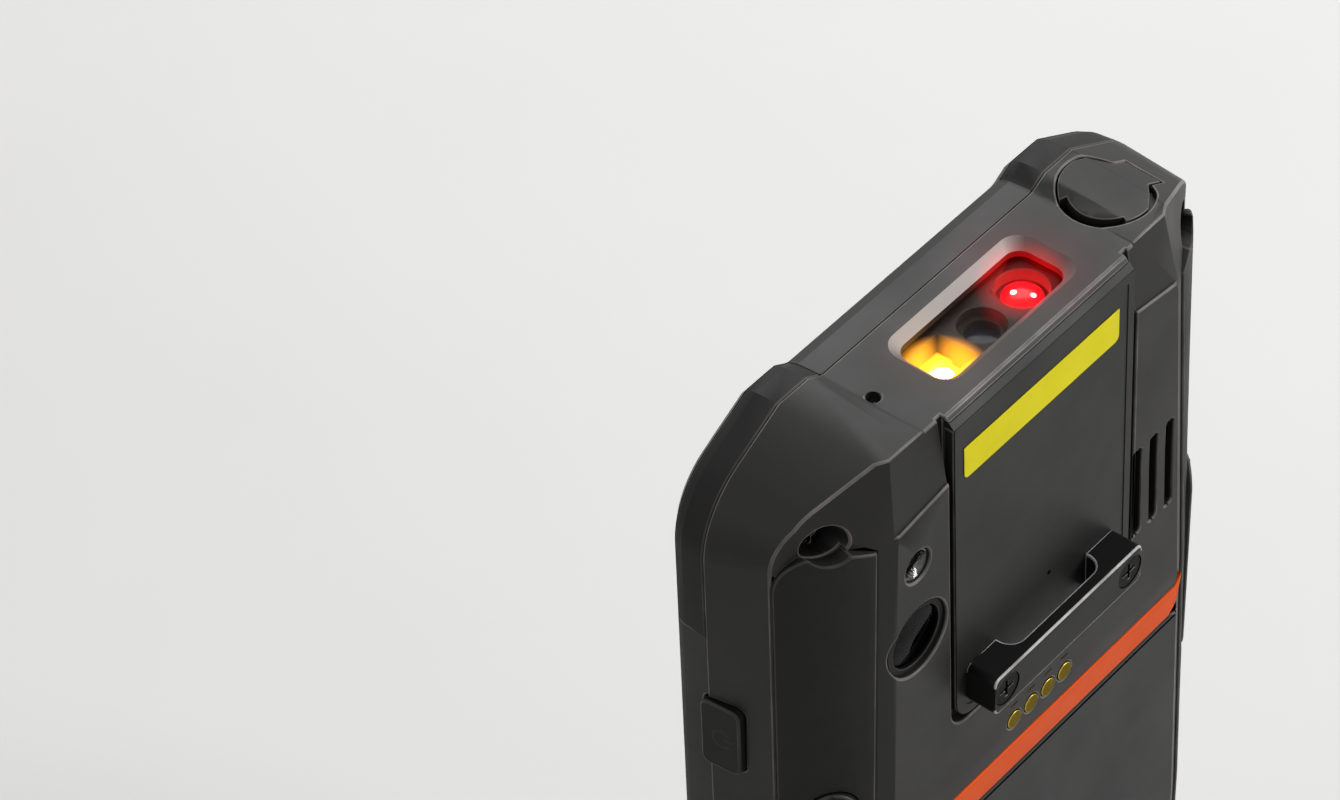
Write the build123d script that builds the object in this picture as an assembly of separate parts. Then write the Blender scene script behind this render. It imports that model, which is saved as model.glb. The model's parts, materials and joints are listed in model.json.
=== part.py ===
"""Portable barcode data terminal: a rugged handheld with a scan window in its top edge.

Frame: the origin is the centre of the flat foot. +Z runs up the length to the scan window,
the display faces -Y and the back faces +Y. Every size is in millimetres.
"""
import functools
import math
import os

from build123d import *

# ---------------------------------------------------------------- driving dimensions
# Overall
width = 79.2                  # across both flanks, at the seam between the housings
length = 161.3                # foot to the tops of the corner bumps
thickness = 22.5              # bezel face to back face
back_y = 11.7                 # middle of the foot to the back face

# Housing outline, seen from the front or back
bump_height = 1.3             # corner bumps above the top edge
bump_fade = 0.05              # what is left of a bump at the back
ramp_start = 20.6             # from a flank in to the foot of a bump's ramp
ramp_run = 2.3                # the ramp's length along X
ramp_blend = 2.5              # radius between the top edge and a ramp
bump_crest = 13.3             # from a flank in to the sharp crest of a bump
corner_slope = 28.0           # fall of the outline beyond a crest, in degrees
corner_radius = 11.7          # top corners, at the seam
back_corner_radius = 5.0      # and at the back face
cavity_radius = 13.2          # corners of the space inside
foot_radius = 13.5            # foot corners
foot_flat = 0.1               # how far the foot corners run on below the flat foot
seam_depth = 5.6              # bezel face to the seam
flank_draft = 0.20            # how far a flank leans in, per mm towards the back
shoulder_depth = 2.4          # bezel face to the first bend of the front housing's edge
shoulder_inset = 0.3          # outline drawn in there
brow_depth = 1.0              # bezel face to the second bend
brow_inset = 0.85
face_inset = 2.3              # outline drawn in at the bezel face

# Back face
tilt_start = 57.4             # below the top edge, where the back begins to lean forward
tilt = 0.0178                 # lean of the back above that, per mm of height
back_inset = 13.9             # from a flank in to the back face's edge, near the top
back_inset_level = 12.4       # below the top of the bumps, where back_inset is measured
side_lean = 0.0375            # back face's edge moves out this much per mm further down
lean_height = 60.0            # height at which the edge stops moving out
bevel_width = 2.15            # bevel beside the back face
bevel_depth = 1.14
facet_points = (              # corner facet: in from a flank, the back and the top or foot
    (14.2, 3.01, -0.29), (3.98, 7.23, 4.96), (12.33, 1.74, 10.48),
)
cap_height = 8.65             # height of the sloped cap beside the raised panel
cap_fall = 0.137              # its edge drops this much per mm towards a flank
cap_step = 0.35               # step under the cap
cap_edge = 1.65               # cap's edge below the back face, at the top

# Walls
wall = 2.4                    # foot and flank wall
top_wall = 2.0
back_wall = 2.0
bumper_wall = 1.0             # thickness of the corner bumpers
gasket_inset = 1.35           # outline to the seal
gasket_width = 0.8
gasket_depth = 0.9
fit = 0.12                    # gap around a fixed piece in its seat
glide = 0.15                  # gap around a sliding key

# Display side
rim_height = 0.35             # bezel stands above the glass
glass_thickness = 1.0
glass_inset = 4.4             # flank to the glass
glass_top = 5.0               # bump tops to the glass's top edge
glass_foot = 22.0             # foot to the glass's lower edge
display_thickness = 2.0
display_margin = 1.4          # glass edge to the display module at the sides
display_top = 10.5            # glass's top edge to the display module
plate_thickness = 1.0         # stiffening plate behind the display
front_key_level = 12.5        # foot to the middle of the front keys
front_key_width = 14.0
front_key_height = 6.4
front_key_pitch = 19.0
front_key_travel = 0.3

# Scan head in the top edge
window_x = -0.55              # window's middle
window_y = 2.0
window_length = 24.5
window_width = 9.9
window_radius = 2.6
window_slope = 1.15           # how far the recess draws in, and how deep that slope is
pane_thickness = 0.8
lens_radius = 2.9
lens_x = 0.05                 # from the window's middle
aimer_radius = 2.86
aimer_ring = 3.1
aimer_x = -7.45
aimer_y = -0.1
lamp_x = 7.55
lamp_y = -0.35
lamp_length = 6.6
lamp_width = 5.5
lamp_depth = 2.6
lamp_ledge_x = 4.8            # ledge in the lamp's far corner
lamp_ledge_y = 2.7

# Microphone hole in the top edge
microphone_inset = 21.5       # from a flank in
microphone_y = 1.4
microphone_radius = 0.85

# Raised panel and yellow strip
panel_x = -0.6                # panel's middle
panel_half = 16.4
panel_groove = 0.8
panel_height = 46.4
panel_lip = 1.5               # top edge to the panel's upper edge
panel_thickness = 1.5
lip_depth = 1.28              # bevel above the panel, from the back face forwards
strip_length = 28.3
strip_height = 4.65
strip_drop = 5.3              # top edge to the strip's upper edge
strip_thickness = 0.12

# Strap bar
bar_length = 28.0
bar_height = 5.8
bar_level = 42.7              # top edge to the bar's middle
bar_stand = 4.2               # panel face to the bar's outer face
bar_thickness = 1.7           # at mid-length
bar_foot = 5.5                # length of each foot on the panel
bar_scoop = 2.0               # radius where a foot runs into the bar
bar_screw_inset = 2.3         # bar's end to a screw's axis
bar_screw_head = 2.15         # radius
bar_screw_shank = 1.1
bar_screw_length = 9.5

# Charging pads
pad_pitch = 3.24
pad_radius = 1.23
pad_level = 56.6              # below the top edge
pad_count = 4

# Orange stripe
stripe_level = 60.63          # top edge down to the stripe's upper edge
stripe_height = 4.1
stripe_tip = 1.65             # tip above the stripe
stripe_depth = 0.8
stripe_proud = 0.12

# Camera, flash and speaker
camera_inset = 17.3           # from a flank in
camera_level = 28.4           # below the top edge
camera_radius = 5.0
camera_window_radius = 4.1
camera_depth = 1.1
flash_level = 16.9
flash_radius = 2.2
slot_count = 3
slot_pitch = 3.15
slot_inset = 14.6             # flank to the outer slot
slot_length = 14.0
slot_width = 1.5
slot_level = 37.9             # top edge to the slots' middle

# Grips on the flanks
grip_top = 10.6               # below the top edge, at the back edge of the grip
grip_rise = 4.0               # how much higher its front edge begins
grip_front_y = 3.1
grip_front_step = 0.15        # the housing lies this far under the grip's front edge
grip_bulge = 0.9
grip_round = 5.0
grip_side = 0.3               # the grip's back edge from the bevel's, along X
grip_proud = 0.25             # and along Y
grip_seat = 0.75              # how deep a grip is let into the housing

# Corner screws
pocket_inset = 6.9
pocket_level = 8.0            # below the top edge
pocket_radius = 2.4
pocket_floor_y = 2.6
corner_screw_head = 1.9
corner_screw_height = 1.6
corner_screw_shank = 1.0
boss_wall = 1.2

# Side keys
power_level = 39.6            # top edge to the key's middle
power_height = 10.4
power_width = 5.3
power_y = -3.35
key_lip = 0.85                # the key's thickness where it lies over the seam
key_proud = 0.9
key_travel = 0.35
volume_height = 11.0
volume_gap = 2.6
volume_level = 38.0
scan_key_level = 62.0
scan_key_height = 31.0
scan_key_width = 6.0
scan_key_proud = 0.2

# Port cover in the top corner: a round plate with a narrower hinge end
port_x = 15.7                 # from a flank in to the plate's middle
port_y = 1.6
port_radius = 5.5
port_reach = 7.1              # plate's middle to the hinge end
port_neck = 2.4               # half width of the hinge end
port_neck_length = 2.6
port_plate = 1.55             # thickness where the top edge is flat
port_gap = 0.2
port_under = 0.35             # space below the plate
port_knuckle = 1.45           # radius of the hinge barrel
port_hinge_drop = 3.4         # below the bump's top
port_web = 2.2                # hinge axis to the end of the web under the neck
port_scoop = 1.75             # clearance radius at the neck's sides
port_scoop_spread = 1.3       # how much it grows per mm away from the neck
port_scoop_start = 0.05
port_opening = 0.9            # fingernail crescent, at its widest
hinge_pin_radius = 0.35
plug_length = 5.2
plug_width = 2.2
plug_reach = 0.7

# Side charging socket and its cover
side_port_level = 30.0
side_port_height = 15.0
side_port_width = 5.4
side_port_y = -0.3
side_socket_height = 9.2
side_socket_width = 3.3
side_socket_depth = 5.0
side_cover_thickness = 1.2
side_cover_gap = 0.15
side_hinge_rise = 0.9         # cover's lower edge to the hinge axis
side_hinge_depth = 0.8        # flank to the hinge axis
side_hinge_radius = 0.65
side_pin_radius = 0.3
side_pin_reach = 0.3          # beyond the cover's sides

# Battery
door_foot = 16.0
door_gap = 0.35
door_thickness = 1.5
door_edge = 0.35              # rounding of the door's upper edge, about the hinge axis
door_relief = 0.12            # taken off the door's inner face above the hinge axis
bay_half = 25.5
bay_margin = 1.5
bay_depth = 7.0
bay_floor = 1.2
latch_length = 14.0
latch_height = 5.0
latch_travel = 4.0
tab_length = 6.0
tab_position = 18.0

# Foot
dock_count = 6
dock_pitch = 4.0

# ---------------------------------------------------------------- derived places
half_width = width / 2
front_y = back_y - thickness
seam_y = front_y + seam_depth
top_z = length - bump_height
glass_y = front_y + rim_height
display_y = glass_y + glass_thickness
plate_y = display_y + display_thickness + fit
plate_back = plate_y + plate_thickness
tilt_z = top_z - tilt_start
far = 2 * width               # larger than the object, for cutting tools
camera_x = half_width - camera_inset
microphone_x = half_width - microphone_inset
camera_z = top_z - camera_level
flash_z = top_z - flash_level
bar_z = top_z - bar_level
stripe_z = top_z - stripe_level
door_top = stripe_z - stripe_height - door_gap
bay_top = door_top - bay_margin
bay_low = door_foot + bay_margin
ceiling_z = top_z - top_wall
pane_z = ceiling_z - pane_thickness

os.makedirs("parts", exist_ok=True)


# ---------------------------------------------------------------- helpers
def along_y(sketch, low, high):
    """Solid whose section is a sketch in (x, z), between two y planes."""
    plane = Plane(origin=(0, high, 0), x_dir=(1, 0, 0), z_dir=(0, -1, 0))
    return extrude(plane * sketch, high - low, dir=(0, -1, 0))


def along_z(sketch, low, high):
    """Solid whose section is a sketch in (x, y), between two heights."""
    return extrude(Plane.XY.offset(low) * sketch, high - low, dir=(0, 0, 1))


def along_x(sketch, low, high):
    """Solid whose section is a sketch in (y, z), between two x planes."""
    plane = Plane(origin=(low, 0, 0), x_dir=(0, 1, 0), z_dir=(1, 0, 0))
    return extrude(plane * sketch, high - low, dir=(1, 0, 0))


def block(x_low, x_high, y_low, y_high, z_low, z_high):
    """Box between six planes."""
    box = Box(x_high - x_low, y_high - y_low, z_high - z_low)
    return Pos((x_low + x_high) / 2, (y_low + y_high) / 2, (z_low + z_high) / 2) * box


def rod_y(x, z, radius, low, high):
    """Cylinder along Y."""
    return along_y(Pos(x, z) * Circle(radius), low, high)


def rod_z(x, y, radius, low, high):
    """Cylinder along Z."""
    return along_z(Pos(x, y) * Circle(radius), low, high)


def panel_xz(half, low, high, radius):
    """Rounded rectangle in (x, z), centred on x = 0."""
    return Pos(0, (low + high) / 2) * RectangleRounded(2 * half, high - low, radius)


def both_sides(shape):
    """A shape and its mirror image across the middle plane."""
    return shape + mirror(shape, Plane.YZ)


def mirrored(shape):
    """The mirror image across the middle plane."""
    return mirror(shape, Plane.YZ)


def back_at(z):
    """Y of the back face at a height."""
    return back_y - tilt * max(0, z - tilt_z)


def back_edge(z):
    """X of the back face's edge at a height."""
    level = length - back_inset_level
    return half_width - back_inset + side_lean * (level - max(z, lean_height))


def flank_at(y):
    """X of the housing's flank at a depth behind the seam."""
    return half_width - flank_draft * (y - seam_y)


def cross(x, z, reach, low, high):
    """Cross-shaped cutter for a screw's driver recess, along Y."""
    bar = 0.42
    one = block(x - reach, x + reach, low, high, z - bar / 2, z + bar / 2)
    two = block(x - bar / 2, x + bar / 2, low, high, z - reach, z + reach)
    return one + two


def write(name, shape):
    """Write one node."""
    export_step(shape, "parts/" + name + ".step")


# ---------------------------------------------------------------- outer shapes
def outline(y, inset=0.0, bump=bump_height, half=half_width, foot_z=-foot_flat, corner=corner_radius):
    """Face bounded by the terminal's outline in the plane at y."""
    slope = math.radians(corner_slope)
    side = half - inset
    low_radius = foot_radius - inset
    radius = corner - inset
    plateau = top_z - inset
    top = plateau + bump
    ramp = half_width - ramp_start
    # the slope from the crest is tangent to the corner's arc
    crest_x = half_width - bump_crest
    middle_x = half - corner
    fall = (corner + (middle_x - crest_x) * math.sin(slope)) / math.cos(slope)
    middle_z = top_z + bump - fall
    crest = crest_x - inset * math.tan(slope / 2)
    half_slope = (slope + math.pi / 2) / 2
    rise = math.atan2(bump, ramp_run)
    blend = ramp_blend * math.tan(rise / 2)

    def at(x, z):
        return Vector(x, y, z)

    def on_corner(angle):
        return middle_x + radius * math.sin(angle), middle_z + radius * math.cos(angle)

    def right_side(sign):
        turn = low_radius * (1 - math.sqrt(0.5))
        slope_end = on_corner(slope)
        corner_mid = on_corner(half_slope)
        ramp_mid = (ramp + blend * math.cos(rise), plateau + blend * math.sin(rise))
        sag = ramp_blend * (1 - math.cos(rise / 2))
        arc_mid = (ramp - blend + ramp_blend * math.sin(rise / 2), plateau + sag)
        return [
            ThreePointArc(
                at(sign * (side - low_radius), foot_z), at(sign * (side - turn), foot_z + turn),
                at(sign * side, foot_z + low_radius),
            ),
            Line(at(sign * side, foot_z + low_radius), at(sign * side, middle_z)),
            ThreePointArc(
                at(sign * side, middle_z), at(sign * corner_mid[0], corner_mid[1]),
                at(sign * slope_end[0], slope_end[1]),
            ),
            Line(at(sign * slope_end[0], slope_end[1]), at(sign * crest, top)),
            Line(at(sign * crest, top), at(sign * (ramp + ramp_run), top)),
            Line(at(sign * (ramp + ramp_run), top), at(sign * ramp_mid[0], ramp_mid[1])),
            ThreePointArc(
                at(sign * ramp_mid[0], ramp_mid[1]), at(sign * arc_mid[0], arc_mid[1]),
                at(sign * (ramp - blend), plateau),
            ),
        ]

    foot = Line(at(side - low_radius, foot_z), at(low_radius - side, foot_z))
    plateau_line = Line(at(ramp - blend, plateau), at(blend - ramp, plateau))
    edges = right_side(1) + [plateau_line] + right_side(-1)[::-1] + [foot]
    return make_face(Wire(edges))


def level_loft(section, levels):
    """Ruled solid through the same kind of (x, y) section at several heights."""
    return loft([Plane.XY.offset(z) * section(z) for z in levels], ruled=True)


def edge_levels():
    """Heights at which the back face's edge or plane changes direction."""
    return [-1.0, lean_height, tilt_z, length + 1.0]


@functools.lru_cache(maxsize=None)
def flank_cut():
    """Tool that takes the bevel and the long flank chamfer off one side."""
    def section(z):
        edge = Vector(back_edge(z), back_at(z))
        bevel = edge + Vector(bevel_width, -bevel_depth)
        end = Vector(flank_at(grip_front_y), grip_front_y - grip_front_step)
        beyond = bevel + (end - bevel) * 1.6
        return Polygon(
            (edge.X, edge.Y), (bevel.X, bevel.Y), (beyond.X, beyond.Y),
            (far, beyond.Y), (far, back_y + 9), (edge.X, back_y + 9), align=None,
        )
    return level_loft(section, edge_levels())


def half_space(points, outward):
    """Large box that lies beyond the plane through three points."""
    first, second, third = [Vector(*p) for p in points]
    normal = (second - first).cross(third - first).normalized()
    if normal.dot(Vector(*outward)) < 0:
        normal = -normal
    plane = Plane(origin=first, z_dir=normal)
    return plane * Box(far, far, 30, align=(Align.CENTER, Align.CENTER, Align.MIN))


def corner_facet(top):
    """Tool for the large facet at the top or the foot corner of the +X side."""
    points = []
    for inward, below, down in facet_points:
        points.append((half_width - inward, back_y - below, top_z - down if top else down))
    return half_space(points, (0, 1, 0))


def cap_cut(side):
    """Tool for the sloped cap between the raised panel and a flank."""
    def section(run):
        step_z = top_z - cap_height - cap_fall * run
        plane = Plane(
            origin=(panel_x + side * (panel_half + panel_groove + run), 0, 0), x_dir=(0, 1, 0),
            z_dir=(1, 0, 0),
        )
        return plane * Polygon(
            (back_at(step_z) - cap_step, step_z), (back_at(top_z) - cap_edge, top_z + 0.01),
            (back_at(top_z) - cap_edge, top_z + 4), (back_y + 9, top_z + 4), (back_y + 9, step_z),
            align=None,
        )
    return loft([section(0), section(half_width - panel_half)], ruled=True)


@functools.lru_cache(maxsize=None)
def rear_shape():
    """Solid outer shape of the rear housing, before it is hollowed."""
    back_half = flank_at(back_y)
    back_outline = outline(back_y, bump=bump_fade, half=back_half, corner=back_corner_radius)
    body = loft([outline(seam_y), back_outline], ruled=True)
    body -= block(-far, far, seam_y - 1, back_y + 1, -5, 0)
    lean = Polygon(
        (back_y, tilt_z), (back_at(length + 2), length + 2), (back_y + 9, length + 2),
        (back_y + 9, tilt_z), align=None,
    )
    body -= along_x(lean, -far, far)
    for tool in (flank_cut(), corner_facet(True), corner_facet(False)):
        body -= tool
        body -= mirrored(tool)
    for side in (-1, 1):
        body -= cap_cut(side)
    lip_y = back_at(top_z) - lip_depth
    lip = Polygon(
        (lip_y, top_z + 4), (lip_y, top_z), (lip_y + 3 * lip_depth, top_z - 3 * panel_lip),
        (back_y + 9, top_z + 4), align=None,
    )
    body -= along_x(lip, panel_x - panel_half - panel_groove, panel_x + panel_half + panel_groove)
    toe = Polygon((back_y - 2.4, -1), (back_y - 2.4, 0), (back_y + 0.2, 5.0), (back_y + 9, -1), align=None)
    body -= along_x(toe, -far, far)
    return body


def front_steps():
    """Bends of the front housing's edge: y, and how far the outline is drawn in there."""
    return [
        (seam_y, 0.0), (front_y + shoulder_depth, shoulder_inset), (front_y + brow_depth, brow_inset),
        (front_y, face_inset),
    ]


@functools.lru_cache(maxsize=None)
def front_shape():
    """Solid outer shape of the front housing with its bumpers."""
    body = loft([outline(y, inset=inset) for y, inset in front_steps()], ruled=True)
    toe = Polygon((front_y - 1, -1), (front_y - 1, 2.2), (front_y, 2.2), (front_y + 1.8, 0),
                  (front_y + 1.8, -1), align=None)
    body -= block(-far, far, front_y - 1, seam_y + 1, -5, 0)
    return body - along_x(toe, -far, far)


@functools.lru_cache(maxsize=None)
def cavity():
    """Space inside the rear housing, less the battery bay and the screw bosses."""
    deep = back_at(top_z) - back_wall
    section = Polygon(
        (half_width - wall, seam_y - 1), (flank_at(1.9) - 2.6, 1.9),
        (half_width - 13.4, deep), (13.4 - half_width, deep),
        (2.6 - flank_at(1.9), 1.9), (wall - half_width, seam_y - 1), align=None,
    )
    room = along_z(section, wall, ceiling_z)
    corners = panel_xz(half_width - wall, wall, length - wall, cavity_radius)
    room &= along_y(corners, seam_y - 1, back_y)
    floor_y = back_y - door_thickness - bay_depth - bay_floor
    bay_shell = block(
        -bay_half - bay_floor, bay_half + bay_floor, floor_y, back_y,
        bay_low - bay_floor, door_top + 3.6,
    )
    room -= bay_shell
    for x, z in corner_screw_places():
        room -= rod_y(x, z, pocket_radius + boss_wall, seam_y - 2, back_y)
    for x in bar_screw_places():
        room -= rod_y(x, bar_z, 2.6, deep - 4.6, back_y)
    port_low = hinge_z - port_knuckle - port_gap - boss_wall
    room -= along_z(port_outline(boss_wall), port_low, length)
    return room


# ---------------------------------------------------------------- fastener places
def corner_screw_places():
    """(x, z) of the four corner screws."""
    x = half_width - pocket_inset
    high = top_z - pocket_level
    return [(x, high), (-x, high), (x, pocket_level + 1.0), (-x, pocket_level + 1.0)]


def bar_screw_places():
    """X of the strap bar's two screws."""
    x = bar_length / 2 - bar_screw_inset
    return [x, -x]


# ---------------------------------------------------------------- grips
def grip_corners(z):
    """Back edge and front edge of a grip's outer face, and of its seat, at a height."""
    edge = Vector(back_edge(z) + bevel_width, back_at(z) - bevel_depth)
    back = edge + Vector(grip_side, grip_proud)
    front = Vector(flank_at(grip_front_y), grip_front_y)
    seat_back = edge + Vector(-0.5, -grip_seat)
    seat_front = front + Vector(-1.0, -0.4)
    return back, front, seat_back, seat_front


def chord_plane():
    """Plane of a grip's outer face: local x runs from its front edge to the back, local y up."""
    back, front, _, _ = grip_corners(tilt_z)
    run = (back - front).normalized()
    normal = Vector(-run.Y, run.X) * -1
    return Plane(origin=(front.X, front.Y, 0), x_dir=(run.X, run.Y, 0), z_dir=(normal.X, normal.Y, 0))


@functools.lru_cache(maxsize=None)
def grip_solid():
    """Grip on the +X flank, without its holes."""
    def section(z):
        back, front, seat_back, seat_front = grip_corners(z)
        run = (front - back).normalized()
        normal = Vector(-run.Y, run.X)
        middle = (back + front) * 0.5 + normal * grip_bulge
        edges = [
            ThreePointArc((back.X, back.Y), (middle.X, middle.Y), (front.X, front.Y)),
            Line((front.X, front.Y), (seat_front.X, seat_front.Y)),
            Line((seat_front.X, seat_front.Y), (seat_back.X, seat_back.Y)),
            Line((seat_back.X, seat_back.Y), (back.X, back.Y)),
        ]
        return make_face(Wire(edges))

    body = level_loft(section, edge_levels())
    back, front, _, _ = grip_corners(tilt_z)
    run = (back - front).length
    reach = 1.5 * run
    high = top_z - grip_top
    slope = grip_rise / run
    low = grip_top
    frame = Polygon(
        (0, low - grip_rise), (0, high + grip_rise),
        (reach, high + grip_rise - slope * reach), (reach, low - grip_rise + slope * reach),
        align=None,
    )
    front_corners = frame.vertices().filter_by(lambda v: v.X < 0.1)
    frame = fillet(front_corners, grip_round)
    trim = extrude(chord_plane() * frame, 9, both=True)
    return body & trim


def scan_key_sketch(extra):
    """Outline of a scan key in the grip's plane, grown by some clearance."""
    return RectangleRounded(
        scan_key_width + 2 * extra, scan_key_height + 2 * extra, (scan_key_width + 2 * extra) / 2 - 0.01
    )


def scan_key_plane():
    """Plane at the middle of the grip's outer face where the scan key lies."""
    back, front, _, _ = grip_corners(tilt_z)
    base = chord_plane()
    run = (back - front).length
    level = top_z - scan_key_level
    return Plane(origin=base.from_local_coords(Vector(0.56 * run, level, 0)), x_dir=base.x_dir, z_dir=base.z_dir)


def scan_key_tool(extra, low, high):
    """Prism of the scan key's outline between two depths from the grip's chord plane."""
    return extrude(scan_key_plane().offset(low) * scan_key_sketch(extra), high - low)


def corner_pocket_cuts():
    """Pockets of the corner screws and the holes below them."""
    tools = []
    for x, z in corner_screw_places():
        tools.append(rod_y(x, z, pocket_radius, pocket_floor_y, back_y + 5))
        tools.append(rod_y(x, z, corner_screw_shank + fit, seam_y - 5, pocket_floor_y + 1))
    return tools


# ---------------------------------------------------------------- side keys
def key_wall(y_low, y_high, z_low, z_high):
    """Pocket that flattens the inside of the +X flank wall behind a key's flange."""
    return block(half_width - 6.5, half_width - 2.3, seam_y, y_high + 1.0, z_low - 1.0, z_high + 1.0)


def key_hole(y_low, y_high, z_low, z_high):
    """Hole through the +X flank wall for a key."""
    hole = Pos((y_low + y_high) / 2, (z_low + z_high) / 2) * RectangleRounded(
        y_high - y_low + 2 * glide, z_high - z_low + 2 * glide, 1.2 + glide
    )
    return along_x(hole, half_width - 4, half_width + 5)


def side_key(y_low, y_high, z_low, z_high):
    """Key in the +X flank: a cap with a lip over the seam, a flange and a stem."""
    face = Pos((y_low + y_high) / 2, (z_low + z_high) / 2) * RectangleRounded(
        y_high - y_low, z_high - z_low, 1.2
    )
    cap = along_x(face, half_width - 2.4, half_width + 3)
    front_x = half_width + key_proud * 0.65
    rear_x = flank_at(y_high) + key_proud * 1.1
    outer = Polygon(
        (half_width - 4, y_low - 1), (front_x, y_low - 0.01), (rear_x, y_high + 0.01),
        (half_width - 4, y_high + 1), align=None,
    )
    cap &= along_z(outer, z_low - 1, z_high + 1)
    cap -= block(half_width - 4, half_width - key_lip, y_low - 1, seam_y + glide, z_low - 1, z_high + 1)
    flange = block(
        half_width - 3.05, half_width - 2.35, seam_y + glide, y_high + 0.6, z_low - 0.6, z_high + 0.6
    )
    z_mid = (z_low + z_high) / 2
    stem = block(half_width - 4.6, half_width - 3.0, y_high - 2.9, y_high - 1.3, z_mid - 1, z_mid + 1)
    return cap + flange + stem


def key_notch(y_low, y_high, z_low, z_high):
    """Notch in the front housing for the lip of a key in the +X flank."""
    hole = key_hole(y_low, y_high, z_low, z_high)
    return hole & block(half_width - key_lip - key_travel - 0.03, far, -far, seam_y + 1, z_low - 1, z_high + 1)


def key_switch(y_high, z_mid):
    """Switch on the board's edge behind a key in the +X flank."""
    plunger = half_width - 4.6 - key_travel - 0.05
    return (
        block(plunger - 2.9, plunger - 0.3, board_back, board_back + 2.6, z_mid - 2, z_mid + 2)
        + block(plunger - 0.35, plunger, y_high - 2.6, y_high - 1.5, z_mid - 0.8, z_mid + 0.8)
    )


board_front = seam_y + 0.8
board_back = board_front + 1.0
board_half = half_width - 6.2
power_box = (power_y - power_width / 2, power_y + power_width / 2,
             top_z - power_level - power_height / 2, top_z - power_level + power_height / 2)
volume_mid = top_z - volume_level
volume_boxes = [
    (power_box[0], power_box[1], volume_mid + volume_gap / 2, volume_mid + volume_gap / 2 + volume_height),
    (power_box[0], power_box[1], volume_mid - volume_gap / 2 - volume_height, volume_mid - volume_gap / 2),
]


# ---------------------------------------------------------------- openings in the top edge
def window_cut():
    """Scan window opening, drawn in towards the glass by a 45 degree slope."""
    mouth = RectangleRounded(window_length, window_width, window_radius)
    throat = RectangleRounded(
        window_length - 2 * window_slope, window_width - 2 * window_slope, window_radius - 0.6
    )
    place = Pos(window_x, window_y)
    throat_z = top_z - window_slope
    cut = loft(
        [Plane.XY.offset(top_z) * place * mouth, Plane.XY.offset(throat_z) * place * throat], ruled=True
    )
    cut += along_z(place * mouth, top_z, top_z + 5)
    return cut + along_z(place * throat, ceiling_z - 1, throat_z)


port_mid = port_x - half_width


def port_outline(extra):
    """Outline of the top corner's port cover in (x, y), grown by some clearance."""
    radius = port_radius + extra
    half = port_neck + extra
    end = port_mid - port_reach - extra
    neck = port_mid - port_reach + port_neck_length - 0.5 * extra
    run = 0.42 * radius
    shoulder = math.sqrt(radius ** 2 - run ** 2)
    tail = Polygon(
        (end, port_y - half), (end, port_y + half), (neck, port_y + half),
        (port_mid - run, port_y + shoulder), (port_mid, port_y), (port_mid - run, port_y - shoulder),
        (neck, port_y - half), align=None,
    )
    return Pos(port_mid, port_y) * Circle(radius) + tail


port_floor = top_z - port_plate - port_under
hinge_x = port_mid - port_reach + port_knuckle - 0.05
hinge_z = length - port_hinge_drop


def port_hinge(radius, half):
    """Cylinder on the port cover's hinge axis."""
    plane = Plane(origin=(hinge_x, port_y - half, hinge_z), x_dir=(1, 0, 0), z_dir=(0, 1, 0))
    return extrude(plane * Circle(radius), 2 * half)


def port_neck_block(low, extra):
    """Box under the cover's neck, from the hinge axis up to the plate."""
    return block(
        hinge_x, hinge_x + port_web + extra, port_y - port_neck - extra, port_y + port_neck + extra,
        low, port_floor + port_under + 0.1,
    )


def port_scoops():
    """Cones about the hinge axis that clear the cover's shoulders as it swings."""
    reach = port_radius
    cone = Cone(
        port_scoop, port_scoop + port_scoop_spread * reach, reach,
        align=(Align.CENTER, Align.CENTER, Align.MIN),
    )
    sides = []
    for side in (-1, 1):
        start_y = port_y + side * (port_neck + port_scoop_start)
        place = Plane(origin=(hinge_x, start_y, hinge_z), z_dir=(0, side, 0))
        sides.append(place * cone)
    return sides


def nail_cut():
    """Crescent in the port cover's edge where a fingernail lifts it."""
    inner = Pos(port_mid - 0.35, port_y + 0.1) * Circle(port_radius - port_opening + 0.35)
    ring = Pos(port_mid, port_y) * Circle(port_radius + 1) - inner
    sector = Polygon(
        (port_mid, port_y), (port_mid + 9 * math.cos(-0.65), port_y + 9 * math.sin(-0.65)),
        (port_mid + 14, port_y), (port_mid + 9 * math.cos(1.05), port_y + 9 * math.sin(1.05)),
        align=None,
    )
    return along_z(ring & sector, port_floor, length + 3)


side_cover_low = side_port_level - side_port_height / 2
side_hinge_z = side_cover_low + side_hinge_rise
side_seat_depth = side_cover_thickness + 0.4


def flank_plane():
    """Plane of the -X flank at the side port: local x runs forwards, local y up."""
    return Plane(
        origin=(-flank_at(side_port_y), side_port_y, 0), x_dir=(-flank_draft, -1, 0),
        z_dir=(-1, flank_draft, 0),
    )


def side_prism(sketch, deep, shallow):
    """Prism into the -X flank, between two depths below it."""
    base = flank_plane()
    place = Pos(0, side_port_level)
    return extrude(base.offset(-deep) * place * sketch, deep - shallow, dir=base.z_dir)


def side_cover_sketch(extra):
    """Outline of the side port cover: round upper corners, square ones at the hinge."""
    shape = Rectangle(side_port_width + 2 * extra, side_port_height + 2 * extra)
    return fillet(shape.vertices().filter_by(lambda v: v.Y > 0), 1.6 + extra)


def side_hinge(radius, half):
    """Cylinder on the side cover's hinge axis."""
    base = flank_plane()
    along = base.x_dir
    middle = base.origin - base.z_dir * side_hinge_depth + Vector(0, 0, side_hinge_z)
    plane = Plane(origin=middle - along * half, x_dir=(0, 0, 1), z_dir=along)
    return extrude(plane * Circle(radius), 2 * half, dir=along)


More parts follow.
